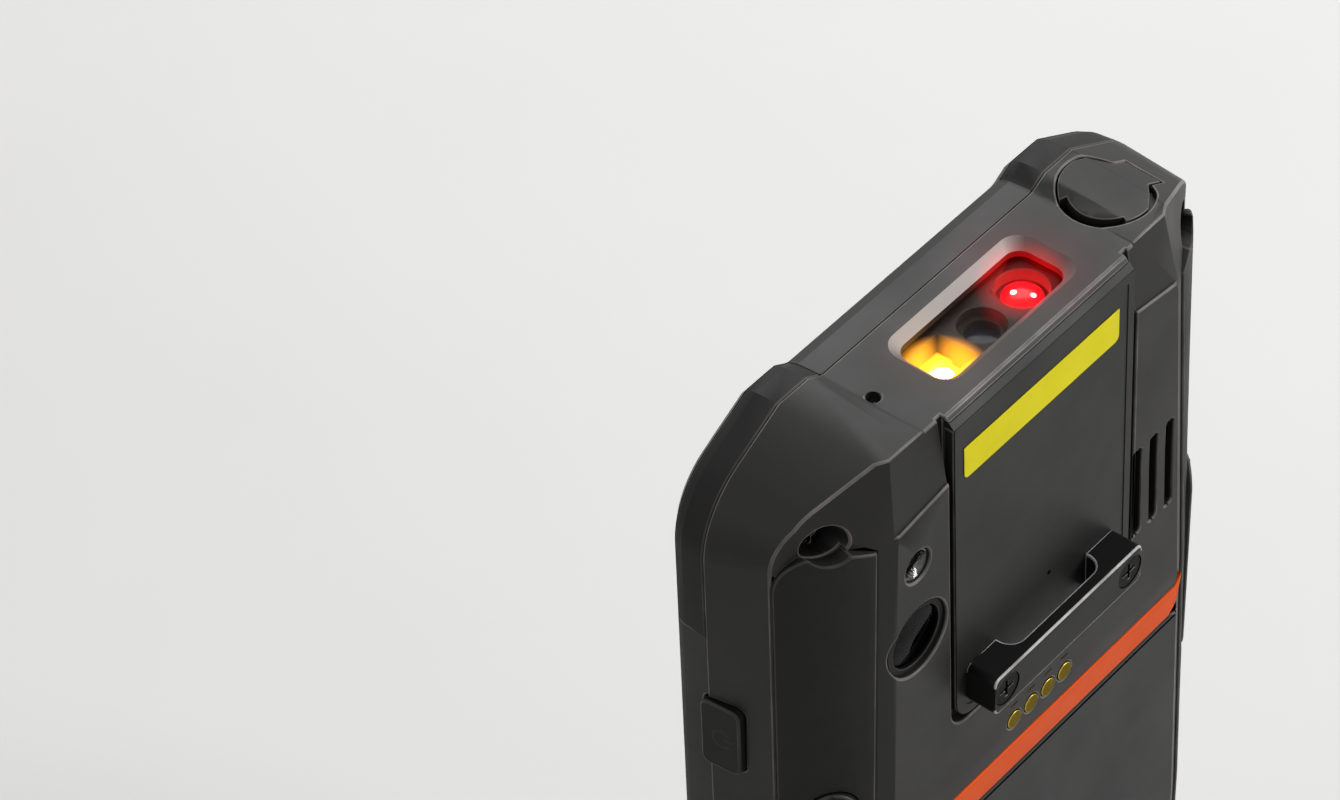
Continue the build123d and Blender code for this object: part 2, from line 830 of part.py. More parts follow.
# ---------------------------------------------------------------- battery door
def door_sketch(extra):
    """Outline of the battery door in (x, z), grown by some clearance."""
    def half(z):
        return back_edge(z) + bevel_width - 1.6 + extra
    low = door_foot - extra
    high = door_top + extra
    shape = Polygon(
        (half(high), high), (half(lean_height), lean_height), (half(low), low),
        (-half(low), low), (-half(lean_height), lean_height), (-half(high), high), align=None,
    )
    corners = shape.vertices().filter_by(lambda v: abs(v.Y - lean_height) > 1)
    return fillet(corners, 2.0)


door_inner_y = back_y - door_thickness
door_hinge_y = back_y - door_edge
door_hinge_z = door_top - door_edge


def tab_box(side, extra):
    """Hook tab of the door that reaches under the stripe."""
    x = side * tab_position
    half = tab_length / 2 + extra
    return block(
        x - half, x + half, door_inner_y - 0.9 - 4 * extra, door_inner_y - 0.05 + extra,
        door_top - 1.6 - extra, door_top + 2.0 + 2 * extra,
    )


# ---------------------------------------------------------------- rear housing
def stripe_sketch(extra):
    """Outline of the orange stripe in (x, z)."""
    low = stripe_z - stripe_height
    end = back_edge(stripe_z) + 0.55
    body = Polygon(
        (end - 2.0, low), (end - 0.6, low + 1.3), (end, stripe_z), (end + 0.25, stripe_z + stripe_tip),
        (end - 1.0, stripe_z), (1.0 - end, stripe_z), (-end - 0.25, stripe_z + stripe_tip),
        (-end, stripe_z), (0.6 - end, low + 1.3), (2.0 - end, low), align=None,
    )
    if extra:
        body = offset(body, extra, kind=Kind.INTERSECTION)
    return body


def panel_solid(grow, depth, proud):
    """Prism of the raised panel's outline that follows the back's lean."""
    high = top_z - panel_lip + grow
    low = top_z - panel_lip - panel_height - grow
    profile = Polygon(
        (back_at(low) - depth, low), (back_at(low) + proud, low),
        (back_at(tilt_z) + proud, max(low, tilt_z)) if low < tilt_z else (back_at(low) + proud, low + 0.01),
        (back_at(high) + proud, high), (back_at(high) - depth, high), align=None,
    )
    plate = along_x(profile, panel_x - panel_half - grow, panel_x + panel_half + grow)
    face = Pos(panel_x, (low + high) / 2) * Rectangle(2 * (panel_half + grow), high - low)
    corners = face.vertices().filter_by(lambda v: v.Y < (low + high) / 2)
    face = fillet(corners, 3.0)
    return plate & along_y(face, 0, back_y + 5)


def groove_cut():
    """Grooves beside the raised panel, from its foot up through the top edge."""
    low = top_z - panel_lip - panel_height + 4
    slot = Polygon(
        (back_at(low) - 0.9, low), (back_at(top_z) - 2.0, top_z + 2), (back_y + 4, top_z + 2),
        (back_y + 4, low), align=None,
    )
    left = along_x(slot, panel_x - panel_half - panel_groove, panel_x - panel_half)
    return left + along_x(slot, panel_x + panel_half, panel_x + panel_half + panel_groove)


def speaker_slots():
    """X of the speaker slots, on the -X side."""
    return [-(half_width - slot_inset) + i * slot_pitch for i in range(slot_count)]


def charging_pad_places():
    """X of the charging pads."""
    return [(i - (pad_count - 1) / 2) * pad_pitch for i in range(pad_count)]


def rear_housing():
    """Back half of the case: hollow, with every seat and opening cut in it."""
    body = rear_shape()
    grip = grip_solid()
    body -= grip
    body -= mirrored(grip)
    body -= cavity()
    for tool in corner_pocket_cuts():
        body -= tool
    # battery bay and door seat
    bay = block(-bay_half, bay_half, door_inner_y - bay_depth, back_y + 2, bay_low, bay_top)
    body -= bay
    body -= along_y(door_sketch(fit * 1.5), door_inner_y, back_y + 5)
    for side in (-1, 1):
        body -= tab_box(side, 0.35)
    # panel, stripe and charging pads
    body -= panel_solid(panel_groove, panel_thickness, 5)
    body -= groove_cut()
    body -= along_y(stripe_sketch(0), back_y - stripe_depth, back_y + 5)
    pad_z = top_z - pad_level
    for x in charging_pad_places():
        body -= rod_y(x, pad_z, pad_radius + 0.05, 0, back_y + 5)
    for x in bar_screw_places():
        body -= rod_y(x, bar_z, bar_screw_shank + 0.05, back_y - 9, back_y + 5)
    # camera, flash and speaker
    body -= rod_y(camera_x, camera_z, camera_radius, back_at(camera_z) - camera_depth, back_y + 5)
    body -= rod_y(camera_x, camera_z, camera_window_radius + fit, 0, back_y)
    body -= rod_y(camera_x, flash_z, flash_radius, 0, back_y + 5)
    for x in speaker_slots():
        slot = Pos(x, top_z - slot_level) * RectangleRounded(slot_width, slot_length, slot_width / 2 - 0.01)
        body -= along_y(slot, 0, back_y + 5)
    # openings in the top edge
    body -= window_cut()
    body -= rod_z(microphone_x, microphone_y, microphone_radius, ceiling_z - 1, top_z + 3)
    body -= along_z(port_outline(port_gap), port_floor, length + 3)
    body -= port_hinge(port_knuckle + port_gap, port_neck + port_gap)
    body -= port_hinge(hinge_pin_radius + 0.02, port_neck + port_gap + 0.7)
    body -= port_neck_block(hinge_z - port_gap, port_gap)
    body -= port_socket_block(fit)
    # key holes and their pockets
    body -= key_hole(*power_box)
    body -= key_wall(*power_box)
    for box in volume_boxes:
        body -= mirrored(key_hole(*box))
        body -= mirrored(key_wall(*box))
    for tool in (scan_key_tool(glide, -9, 5), scan_key_tool(1.4, -9, -4.35)):
        body -= tool
        body -= mirrored(tool)
    # side port
    body -= side_prism(side_cover_sketch(side_cover_gap), side_seat_depth, -3)
    body -= side_hinge(side_pin_radius + 0.02, side_port_width / 2 + side_pin_reach + 0.05)
    body -= side_socket_block(fit)
    # dock contacts
    for x in dock_places():
        body -= block(x - 1.1, x + 1.1, -1.6, 1.6, -1, wall + 1)
    # latch seat
    body -= block(
        -latch_length / 2 - 0.2, latch_length / 2 + latch_travel + 0.2, door_inner_y, back_y + 5,
        latch_z - latch_height / 2 - 0.2, latch_z + latch_height / 2 + 0.2,
    )
    # battery contact slot
    body -= block(-8.1, 8.1, door_inner_y - bay_depth - bay_floor - 1, door_inner_y - bay_depth + 1,
                  bay_top - 9.1, bay_top - 4.9)
    return body


latch_z = 10.2


def dock_places():
    """X of the dock contacts in the foot."""
    return [(i - (dock_count - 1) / 2) * dock_pitch for i in range(dock_count)]


def gasket_ring():
    """Seal between the housings, let into the front one."""
    inner_inset = gasket_inset + gasket_width
    outer = outline(seam_y, inset=gasket_inset, foot_z=gasket_inset)
    inner = outline(seam_y, inset=inner_inset, foot_z=inner_inset)
    ring = extrude(outer, gasket_depth, dir=(0, -1, 0))
    return ring - extrude(inner, gasket_depth, dir=(0, -1, 0))


# ---------------------------------------------------------------- sockets
def port_socket_block(extra):
    """Socket under the top port cover."""
    x = port_mid + 0.4
    return block(
        x - 3.4 - extra, x + 3.4 + extra, port_y - 1.8 - extra, port_y + 1.8 + extra,
        port_floor - 5.5 - extra, port_floor + 0.001,
    )


def side_socket_block(extra):
    """Socket behind the side port cover."""
    face = Rectangle(side_socket_width + 2 * extra, side_socket_height + 2 * extra)
    return side_prism(face, side_seat_depth + side_socket_depth + extra, side_seat_depth - 0.001)


# ---------------------------------------------------------------- build every node
nodes = {}

rear = rear_housing()
nodes["rear_housing"] = rear


def front_housing_parts():
    """Front housing and the two pairs of corner bumpers on it."""
    shape = front_shape()
    brow_y = front_y + brow_depth
    levels = [(seam_y + 1, 0.0)] + front_steps()[:3] + [(brow_y - 0.3, brow_inset + 0.2)]
    core = loft([outline(y, inset=inset + bumper_wall, foot_z=bumper_wall) for y, inset in levels], ruled=True)
    step = 24.9
    top_region = block(-far, far, front_y - 1, seam_y, top_z - step, length + 2)
    top_region -= block(-(half_width - ramp_start), half_width - ramp_start, front_y - 1, seam_y, 0, length + 2)
    foot_region = block(-far, far, front_y - 1, seam_y, -1, step)
    foot_region -= block(-(half_width - foot_radius), half_width - foot_radius, front_y - 1, seam_y, -1, step)
    front_band = block(-far, far, brow_y, seam_y, -2, length + 3)
    shell = shape - core
    bumpers_top = shell & top_region & front_band
    bumpers_foot = shell & foot_region & front_band
    housing = shape - bumpers_top - bumpers_foot
    for side in (-1, 1):
        x = side * (half_width - 0.45)
        slab = block(min(x, x + side * 3), max(x, x + side * 3), front_y - 1, seam_y, step, top_z - step)
        housing -= slab
    for box, flip in [(power_box, False)] + [(box, True) for box in volume_boxes]:
        notch = key_notch(*box)
        housing -= mirrored(notch) if flip else notch
    # pockets from the display side
    glass_seat = panel_xz(half_width - glass_inset + fit, glass_foot - fit, length - glass_top + fit, 6.0)
    housing -= along_y(glass_seat, front_y - 1, display_y)
    screen = panel_xz(
        half_width - glass_inset - display_margin + fit, glass_foot + display_margin - fit,
        length - glass_top - display_top + fit, 1.0,
    )
    housing -= along_y(screen, front_y - 1, plate_y)
    room = panel_xz(half_width - 3.8, 4.0, length - 5.2, corner_radius - 4)
    housing -= along_y(room, plate_back, seam_y + 1)
    # front keys
    housing -= along_y(panel_xz(half_width - 9, 5.5, glass_foot - 2.2, 2.0), front_y + 1.7, plate_y)
    for x in front_key_places():
        hole = Pos(x, front_key_level) * front_key_sketch(glide)
        housing -= along_y(hole, front_y - 1, front_y + 2)
    # earpiece, front camera and screws
    housing -= block(-8.2, 8.2, display_y - 0.1, plate_back + 0.1, ear_z - 1.6, ear_z + 1.6)
    housing -= rod_y(front_camera_x, ear_z, 2.2, display_y - 0.1, plate_back + 0.1)
    for x, z in corner_screw_places():
        housing += rod_y(x, z, 3.0, plate_back - 0.1, seam_y) & core
        housing -= rod_y(x, z, corner_screw_shank + 0.03, plate_y + 0.3, seam_y + 1)
    for x, z in board_screw_places():
        housing += rod_y(x, z, 2.0, plate_back - 0.1, board_front)
        housing -= rod_y(x, z, 0.8 + 0.03, plate_y + 0.2, board_front + 1)
    housing -= gasket_ring()
    return housing, bumpers_top, bumpers_foot


ear_z = length - glass_top - 4.6
front_camera_x = 14.5


def front_key_places():
    """X of the three front keys."""
    return [-front_key_pitch, 0.0, front_key_pitch]


def front_key_sketch(extra):
    """Outline of a front key."""
    return RectangleRounded(front_key_width + 2 * extra, front_key_height + 2 * extra, 2.6 + extra)


def board_screw_places():
    """(x, z) of the screws that hold the main board."""
    x = board_half - 4
    low = 26.0
    high = top_z - 20
    return [(x, low), (-x, low), (x, high), (-x, high)]


housing, bumper_top, bumper_foot = front_housing_parts()
nodes["front_housing"] = housing
nodes["bumper_top_corners"] = bumper_top
nodes["bumper_foot_corners"] = bumper_foot
nodes["seal_gasket"] = gasket_ring()

# Display side
glass = along_y(
    panel_xz(half_width - glass_inset, glass_foot, length - glass_top, 6.0), glass_y, display_y
)
glass -= along_y(Pos(0, ear_z) * RectangleRounded(14.0, 1.4, 0.69), glass_y - 1, display_y + 1)
nodes["display_glass"] = glass
nodes["display_module"] = along_y(
    panel_xz(
        half_width - glass_inset - display_margin, glass_foot + display_margin,
        length - glass_top - display_top, 0.9,
    ),
    display_y, plate_y - fit,
)
nodes["earpiece_mesh"] = block(-8.0, 8.0, display_y, display_y + 0.4, ear_z - 1.4, ear_z + 1.4)
nodes["earpiece"] = block(-7.6, 7.6, display_y + 0.4, plate_back, ear_z - 1.4, ear_z + 1.4)
nodes["front_camera"] = rod_y(front_camera_x, ear_z, 2.1, display_y, plate_back)

for name, x in zip(("front_key_left", "front_key_middle", "front_key_right"), front_key_places()):
    cap = along_y(Pos(x, front_key_level) * front_key_sketch(0), front_y - 0.3, front_y + 1.72)
    flange = along_y(Pos(x, front_key_level) * front_key_sketch(0.7), front_y + 1.72, front_y + 2.3)
    stem = rod_y(x, front_key_level, 1.0, front_y + 2.3, plate_y - 0.6 - front_key_travel - 0.05)
    nodes[name] = cap + flange + stem
domes = [rod_y(x, front_key_level, 2.2, plate_y - 0.6, plate_y) for x in front_key_places()]
nodes["front_key_domes"] = Compound(children=[d for d in domes])

# Scan head
nodes["scan_window"] = along_z(
    Pos(window_x, window_y) * RectangleRounded(window_length + 2.0, window_width + 2.0, 2.0), pane_z, ceiling_z
)
engine_top = pane_z
engine_low = engine_top - 11.0
engine_half = window_length / 2 - 0.2
engine_depth = 4.6
engine = block(
    window_x - engine_half, window_x + engine_half, window_y - engine_depth, window_y + engine_depth,
    engine_low, engine_top,
)
lens_place = Pos(window_x + lens_x, window_y)
aimer_place = Pos(window_x + aimer_x, window_y + aimer_y)
lamp_place = Pos(window_x + lamp_x, window_y + lamp_y)
lamp_floor = engine_top - lamp_depth
engine -= along_z(lens_place * Circle(lens_radius), engine_top - 5.0, engine_top + 1)
engine -= along_z(aimer_place * Circle(aimer_ring + 0.05), engine_top - 2.2, engine_top + 1)
lamp_mouth = Rectangle(lamp_length, lamp_width)
lamp_seat = Rectangle(lamp_length - 1.2, lamp_width - 1.2)
engine -= loft(
    [Plane.XY.offset(engine_top) * lamp_place * lamp_mouth, Plane.XY.offset(lamp_floor) * lamp_place * lamp_seat],
    ruled=True,
)
lamp_right = window_x + lamp_x + lamp_length / 2
lamp_high = window_y + lamp_y + lamp_width / 2
engine += block(
    lamp_right - lamp_ledge_x, lamp_right, lamp_high - lamp_ledge_y, lamp_high, lamp_floor, engine_top - 1.2
)
notch = Polygon((-5.9, -1.0), (-5.0, -0.5), (-5.6, 0.1), align=None)
engine -= along_z(notch, engine_top - 0.8, engine_top + 1)
nodes["scan_engine_frame"] = engine
barrel = along_z(lens_place * Circle(lens_radius - 0.05), engine_top - 5.0, engine_top - 1.2)
barrel -= along_z(lens_place * Circle(lens_radius - 0.8), engine_top - 3.0, engine_top)
nodes["scan_lens_barrel"] = barrel
lens_disc = along_z(lens_place * Circle(lens_radius - 0.85), engine_top - 3.0, engine_top - 2.2)
nodes["scan_lens"] = lens_disc
aimer_base = along_z(aimer_place * Circle(aimer_ring), engine_top - 2.2, engine_top - 1.6)
dome = aimer_place * Pos(0, 0, engine_top - 1.6) * Sphere(aimer_radius)
dome &= block(-far, far, -far, far, engine_top - 1.7, engine_top - 0.3)
nodes["aimer_lens"] = aimer_base + dome
lamp_low = window_y + lamp_y - lamp_width / 2 + 0.6
nodes["scan_lamp"] = block(
    lamp_right - lamp_length + 0.7, lamp_right - 0.8, lamp_low, lamp_high - lamp_ledge_y - 0.05,
    lamp_floor, lamp_floor + 0.6,
)

# Back pieces
panel = panel_solid(0, panel_thickness, 0)
for x in bar_screw_places():
    panel -= rod_y(x, bar_z, bar_screw_shank + 0.05, 0, back_y + 5)
panel -= rod_y(-1.6, bar_z + 5.4, 0.35, back_at(bar_z) - 1.0, back_y + 5)
nodes["raised_panel"] = panel

strip_high = top_z - strip_drop
strip_low = strip_high - strip_height
strip_profile = Polygon(
    (back_at(strip_low), strip_low), (back_at(strip_low) + strip_thickness, strip_low),
    (back_at(strip_high) + strip_thickness, strip_high), (back_at(strip_high), strip_high), align=None,
)
strip_face = Pos(0, (strip_low + strip_high) / 2) * Rectangle(strip_length, strip_height)
strip_face = fillet(strip_face.vertices().filter_by(lambda v: v.Y < strip_low + 1), 0.8)
nodes["yellow_strip"] = along_x(strip_profile, -strip_length, strip_length) & along_y(strip_face, 0, back_y + 3)


def strap_bar():
    """Bar for a hand strap: two feet on the panel and a slim grip between them."""
    low = bar_z - bar_height / 2
    high = bar_z + bar_height / 2
    outer_y = back_at(bar_z) + bar_stand
    body = along_y(Pos(0, bar_z) * RectangleRounded(bar_length, bar_height, 0.9), back_at(bar_z) - 1, outer_y)
    body -= panel_side(low, high)
    inner = outer_y - bar_thickness
    reach = bar_length / 2 - bar_foot
    base = back_at(low) - 1
    gap = Polygon((reach, base), (reach, inner), (-reach, inner), (-reach, base), align=None)
    gap = fillet(gap.vertices().filter_by(lambda v: v.Y > inner - 0.1), bar_scoop)
    body -= along_z(gap, low - 1, high + 1)
    for x in bar_screw_places():
        body -= rod_y(x, bar_z, bar_screw_head + 0.08, outer_y - 1.5, outer_y + 1)
        body -= rod_y(x, bar_z, bar_screw_shank + 0.05, 0, outer_y)
    return body


def panel_side(low, high):
    """Everything on the panel's side of the leaning back face, between two heights."""
    section = Polygon(
        (back_at(low - 2) - 8, low - 2), (back_at(low - 2), low - 2),
        (back_at(high + 2), high + 2), (back_at(high + 2) - 8, high + 2), align=None,
    )
    return along_x(section, -far, far)


nodes["strap_bar"] = strap_bar()
bar_face = back_at(bar_z) + bar_stand
bar_screws = []
for x in bar_screw_places():
    screw = rod_y(x, bar_z, bar_screw_head, bar_face - 1.5, bar_face - 0.1)
    screw += rod_y(x, bar_z, bar_screw_shank, bar_face - bar_screw_length, bar_face - 1.5)
    screw -= cross(x, bar_z, 1.25, bar_face - 0.7, bar_face + 1)
    bar_screws.append(screw)
nodes["strap_bar_screws"] = Compound(children=bar_screws)

deep_y = back_at(top_z) - back_wall
pad_z = top_z - pad_level
pads = []
for x in charging_pad_places():
    pads.append(rod_y(x, pad_z, pad_radius, deep_y, back_y + 0.06) + rod_y(x, pad_z, 1.5, deep_y - 0.5, deep_y))
nodes["charging_pads"] = Compound(children=pads)
contact_boards = [block(-8.5, 8.5, deep_y - 1.3, deep_y - 0.5, pad_z - 2.4, pad_z + 2.4)]

nodes["orange_stripe"] = along_y(stripe_sketch(0), back_y - stripe_depth, back_y + stripe_proud)

# Camera side
cam_face = back_at(camera_z) - camera_depth
ring = rod_y(camera_x, camera_z, camera_radius - 0.06, cam_face, cam_face + 0.6)
ring -= rod_y(camera_x, camera_z, camera_window_radius, cam_face - 1, cam_face + 2)
nodes["camera_ring"] = ring
nodes["camera_window"] = rod_y(camera_x, camera_z, camera_window_radius - 0.03, cam_face - 0.6, cam_face + 0.25)
camera = block(camera_x - 4.2, camera_x + 4.2, cam_face - 6.6, cam_face - 2.0, camera_z - 4.2, camera_z + 4.2)
camera &= cavity()
camera += rod_y(camera_x, camera_z, 3.2, cam_face - 2.1, cam_face - 0.6)
camera -= rod_y(camera_x, camera_z, 1.5, cam_face - 1.3, cam_face + 1)
nodes["camera_module"] = camera
flash_face = back_at(flash_z)
nodes["flash_lens"] = rod_y(camera_x, flash_z, flash_radius - 0.04, flash_face - 1.6, flash_face - 0.35)
nodes["flash_led"] = block(camera_x - 1.4, camera_x + 1.4, flash_face - 2.1, flash_face - 1.6,
                           flash_z - 1.4, flash_z + 1.4)

# Speaker
speaker_x = -(half_width - slot_inset) + slot_pitch
speaker_z = top_z - slot_level
nodes["speaker_mesh"] = block(
    speaker_x - 4.7, speaker_x + 4.4, deep_y - 0.35, deep_y, speaker_z - 8.5, speaker_z + 8.5
) & cavity()
nodes["speaker"] = block(
    speaker_x - 4.2, speaker_x + 4.6, deep_y - 3.6, deep_y - 0.35, speaker_z - 8.5, speaker_z + 8.5
) & cavity()

# Grips
grip = grip_solid()
for tool in corner_pocket_cuts():
    grip -= tool
grip -= scan_key_tool(glide, -9, 5)
nodes["grip_right"] = grip
nodes["grip_left"] = mirrored(grip)

# Corner screws
screws = []
for x, z in corner_screw_places():
    head_top = pocket_floor_y + corner_screw_height
    screw = rod_y(x, z, corner_screw_head, pocket_floor_y, head_top)
    screw += rod_y(x, z, corner_screw_shank, plate_y + 0.5, pocket_floor_y)
    screws.append(screw - cross(x, z, 1.1, head_top - 0.8, head_top + 1))
nodes["corner_screws"] = Compound(children=screws)

# Flank keys
power = side_key(*power_box)
power_mid = (power_box[2] + power_box[3]) / 2
nodes["power_key"] = power
side_switches = [key_switch(power_box[1], power_mid)]
for name, box in zip(("volume_up_key", "volume_down_key"), volume_boxes):
    nodes[name] = mirrored(side_key(*box))
    side_switches.append(mirrored(key_switch(box[1], (box[2] + box[3]) / 2)))
nodes["side_key_switches"] = Compound(children=side_switches)


def scan_key():
    """Scan key in the +X grip: cap, flange and stem, square to the grip's face."""
    cap = scan_key_tool(0, -4.4, grip_bulge + scan_key_proud)
    flange = scan_key_tool(0.9, -5.1, -4.4)
    plane = scan_key_plane()
    stem = extrude(plane.offset(-5.7) * Rectangle(2.0, 6.0), 0.65)
    return cap + flange + stem


nodes["scan_key_right"] = scan_key()
nodes["scan_key_left"] = mirrored(nodes["scan_key_right"])
scan_switch = extrude(scan_key_plane().offset(-9.0) * Rectangle(3.2, 9.0), 9.0 - 5.7 - key_travel - 0.05)
scan_switch &= block(bay_half + bay_floor, far, -far, far, -far, far)
nodes["scan_switches"] = Compound(children=[scan_switch, mirrored(scan_switch)])

# Top port cover
cover = rear_shape() & along_z(port_outline(0), port_floor + port_under, length + 3)
cover &= block(hinge_x, far, -far, far, 0, length + 3)
for scoop in port_scoops():
    cover -= scoop
cover += port_hinge(port_knuckle, port_neck) & rear_shape()
cover += port_neck_block(hinge_z, 0)
cover -= port_hinge(hinge_pin_radius + 0.05, 30)
cover -= nail_cut()
socket_x = port_mid + 0.4
cover += block(
    socket_x - plug_length / 2, socket_x + plug_length / 2, port_y - plug_width / 2, port_y + plug_width / 2,
    port_floor - plug_reach, port_floor + port_under + 0.2,
)
nodes["port_cover"] = cover
cover_pins = [port_hinge(hinge_pin_radius, port_neck + port_gap + 0.6)]
socket = port_socket_block(0)
socket -= block(
    socket_x - plug_length / 2 - 0.4, socket_x + plug_length / 2 + 0.4,
    port_y - plug_width / 2 - 0.3, port_y + plug_width / 2 + 0.3, port_floor - 4.5, port_floor + 1,
)
nodes["port_socket"] = socket

# Side port cover and socket
side_plate = side_prism(side_cover_sketch(0), side_cover_thickness, 0)
above_hinge = block(-far, 0, -far, far, side_hinge_z, far)
side_cover = (side_plate & above_hinge) + (side_plate & side_hinge(side_hinge_depth, far))
side_cover += side_hinge(side_hinge_radius, side_port_width / 2 - 0.6)
side_plug = Rectangle(side_socket_width - 1.3, side_socket_height - 2.0)
side_cover += side_prism(side_plug, side_seat_depth + plug_reach, side_cover_thickness - 0.1)
side_cover -= side_hinge(side_pin_radius + 0.05, far)
nodes["side_port_cover"] = side_cover
cover_pins.append(side_hinge(side_pin_radius, side_port_width / 2 + side_pin_reach))
nodes["cover_pins"] = Compound(children=cover_pins)
side_mouth = Rectangle(side_socket_width - 0.7, side_socket_height - 0.8)
side_socket = side_socket_block(0) - side_prism(side_mouth, side_seat_depth + side_socket_depth - 1.3, 0)
nodes["side_port_socket"] = side_socket

# Battery
door = rear_shape() & along_y(door_sketch(0), door_inner_y, back_y + 5)
edge_corner = block(-far, far, door_hinge_y, back_y + 1, door_hinge_z, door_top + 1)
door -= edge_corner - along_x(Pos(door_hinge_y, door_hinge_z) * Circle(door_edge), -far, far)
door -= block(-far, far, door_inner_y - 1, door_inner_y + door_relief, door_hinge_z, door_top + 1)
for side in (-1, 1):
    hook = tab_box(side, 0)
    foot = block(
        side * tab_position - tab_length / 2, side * tab_position + tab_length / 2,
        door_inner_y - 0.9, door_inner_y + 0.01, door_top - 1.6, door_top - 0.4,
    )
    door += hook + foot
nodes["battery_door"] = door
battery = block(
    -bay_half + 0.4, bay_half - 0.4, door_inner_y - bay_depth, door_inner_y - 0.3, bay_low + 0.4, bay_top - 1.9
)
nodes["battery_pack"] = battery
nodes["battery_contacts"] = block(
    -8.0, 8.0, door_inner_y - bay_depth - bay_floor - 0.8, door_inner_y - bay_depth, bay_top - 9.0, bay_top - 5.0
)
latch = block(
    -latch_length / 2, latch_length / 2, door_inner_y + 0.02, back_y - 0.25,
    latch_z - latch_height / 2, latch_z + latch_height / 2,
)
for i in range(5):
    rib_x = (i - 2) * 2.0
    latch += block(rib_x - 0.4, rib_x + 0.4, back_y - 0.3, back_y + 0.1, latch_z - 1.7, latch_z + 1.7)
nodes["battery_latch"] = latch

# Electronics
board = along_y(panel_xz(board_half, 14.5, top_z - 18, 2.0), board_front, board_back)
nodes["main_board"] = board
cans = [
    block(-24, -4, board_back, board_back + 1.8, top_z - 60, top_z - 38),
    block(2, 26, board_back, board_back + 1.8, top_z - 64, top_z - 40),
    block(-20, 12, board_back, board_back + 1.8, 40, 66),
]
nodes["shield_cans"] = Compound(children=cans)
motor_z = 30.0
nodes["vibration_motor"] = block(16, 26, board_back, board_back + 3.2, motor_z - 3.2, motor_z + 3.2)
board_screws = []
for x, z in board_screw_places():
    screw = rod_y(x, z, 1.5, board_back, board_back + 0.9) + rod_y(x, z, 0.8, plate_y + 0.4, board_back)
    board_screws.append(screw)
nodes["board_screws"] = Compound(children=board_screws)
nodes["main_board"] -= Compound(children=[rod_y(x, z, 0.85, -far, far) for x, z in board_screw_places()])
nodes["microphone"] = block(
    microphone_x - 1.7, microphone_x + 1.7, microphone_y - 1.6, microphone_y + 1.6, ceiling_z - 1.2, ceiling_z
)
dock = []
for x in dock_places():
    dock.append(block(x - 1.0, x + 1.0, -1.5, 1.5, 0.15, wall + 0.4))
nodes["dock_contacts"] = Compound(children=dock)
contact_boards.append(block(-12, 12, -2.4, 2.4, wall + 0.4, wall + 1.2))
nodes["contact_boards"] = Compound(children=contact_boards)

for name, shape in nodes.items():
    write(name, shape)
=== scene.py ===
"""Portable barcode data terminal: finishes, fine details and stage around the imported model."""
import json
import math

import bmesh
import bpy
from bpy.props import FloatProperty, FloatVectorProperty, IntProperty, PointerProperty
from mathutils import Matrix, Vector
from mathutils.bvhtree import BVHTree


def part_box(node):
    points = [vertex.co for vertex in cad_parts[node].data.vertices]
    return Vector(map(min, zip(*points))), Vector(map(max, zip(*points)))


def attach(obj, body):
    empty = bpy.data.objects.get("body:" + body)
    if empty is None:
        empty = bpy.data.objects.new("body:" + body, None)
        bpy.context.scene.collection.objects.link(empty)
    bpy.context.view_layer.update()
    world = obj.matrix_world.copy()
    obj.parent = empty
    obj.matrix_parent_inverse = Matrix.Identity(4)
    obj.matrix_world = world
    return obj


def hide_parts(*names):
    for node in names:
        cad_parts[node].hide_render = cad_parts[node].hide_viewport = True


bl_info = {
    "name": "Barcode data terminal",
    "version": (1, 0, 0),
    "blender": (4, 5, 0),
    "location": "View3D > Sidebar > Terminal",
    "description": "Finishes, fine details and a studio stage for a rugged handheld data terminal",
    "category": "Object",
}

MM = 0.001
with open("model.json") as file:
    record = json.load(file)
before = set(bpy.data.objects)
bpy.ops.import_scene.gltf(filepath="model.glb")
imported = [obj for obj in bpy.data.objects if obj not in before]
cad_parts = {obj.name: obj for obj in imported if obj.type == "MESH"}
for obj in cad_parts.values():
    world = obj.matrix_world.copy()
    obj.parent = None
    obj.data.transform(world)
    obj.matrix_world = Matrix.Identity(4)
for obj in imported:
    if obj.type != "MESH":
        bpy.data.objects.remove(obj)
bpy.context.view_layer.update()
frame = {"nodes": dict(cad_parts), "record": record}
RECORD = frame["record"]
BODY_OF = {node: body for body, nodes in RECORD["behaviour"]["bodies"].items() for node in nodes}
SLOT_OF = {part["node"]: part["material_slot"] for part in RECORD["subparts"]}
MATERIALS = {}
# Face mark of the rounded edges: rubbing plus a painted highlight, lighter colour standing in for light
# caught on the small roundings
WEAR_AND_EDGE_HIGHLIGHT = "wear_and_edge_highlight"
# Face mark of the window's slope: a painted sheen, lighter colour standing in for light reflected off it
PAINTED_SHEEN = "painted_sheen"

# Turns between two faces, in degrees
SAME_FACE = 0.5            # up to here faces are joined into one
CREASE = 13.0              # from here an edge is drawn sharp
TURNED_CREASE = 33.0       # the same on turned pieces
ROUNDED_CREASE = 50.0      # and beside a rounded edge
SHARP_EDGE = 38.0          # from here an outward edge is rounded

# Lengths in metres
SAME_PLACE = 0.002 * MM    # corners this near are merged
OUTSIDE = 20 * MM          # where a ray towards the terminal starts
SUNK = -0.05 * MM          # underside of a flat detail, inside the piece that carries it

# Lengths in mm
LAMP_INSET = 1.9           # outer end of the scan lamp to the middle of its light


# ---------------------------------------------------------------- settings
def colour_property(name, description, default):
    """A linear colour that the user can change."""
    return FloatVectorProperty(
        name=name, description=description, default=default, subtype="COLOR", size=3, min=0, max=1,
    )


def length_property(name, description, default):
    """A length in metres that the user can change."""
    return FloatProperty(
        name=name, description=description, default=default, unit="LENGTH", min=0, precision=5,
    )


def power_property(name, description, default):
    """A lamp's power in watts that the user can change."""
    return FloatProperty(name=name, description=description, default=default, unit="POWER")


def strength_property(name, description, default):
    """A strength that the user can change."""
    return FloatProperty(name=name, description=description, default=default, min=0)


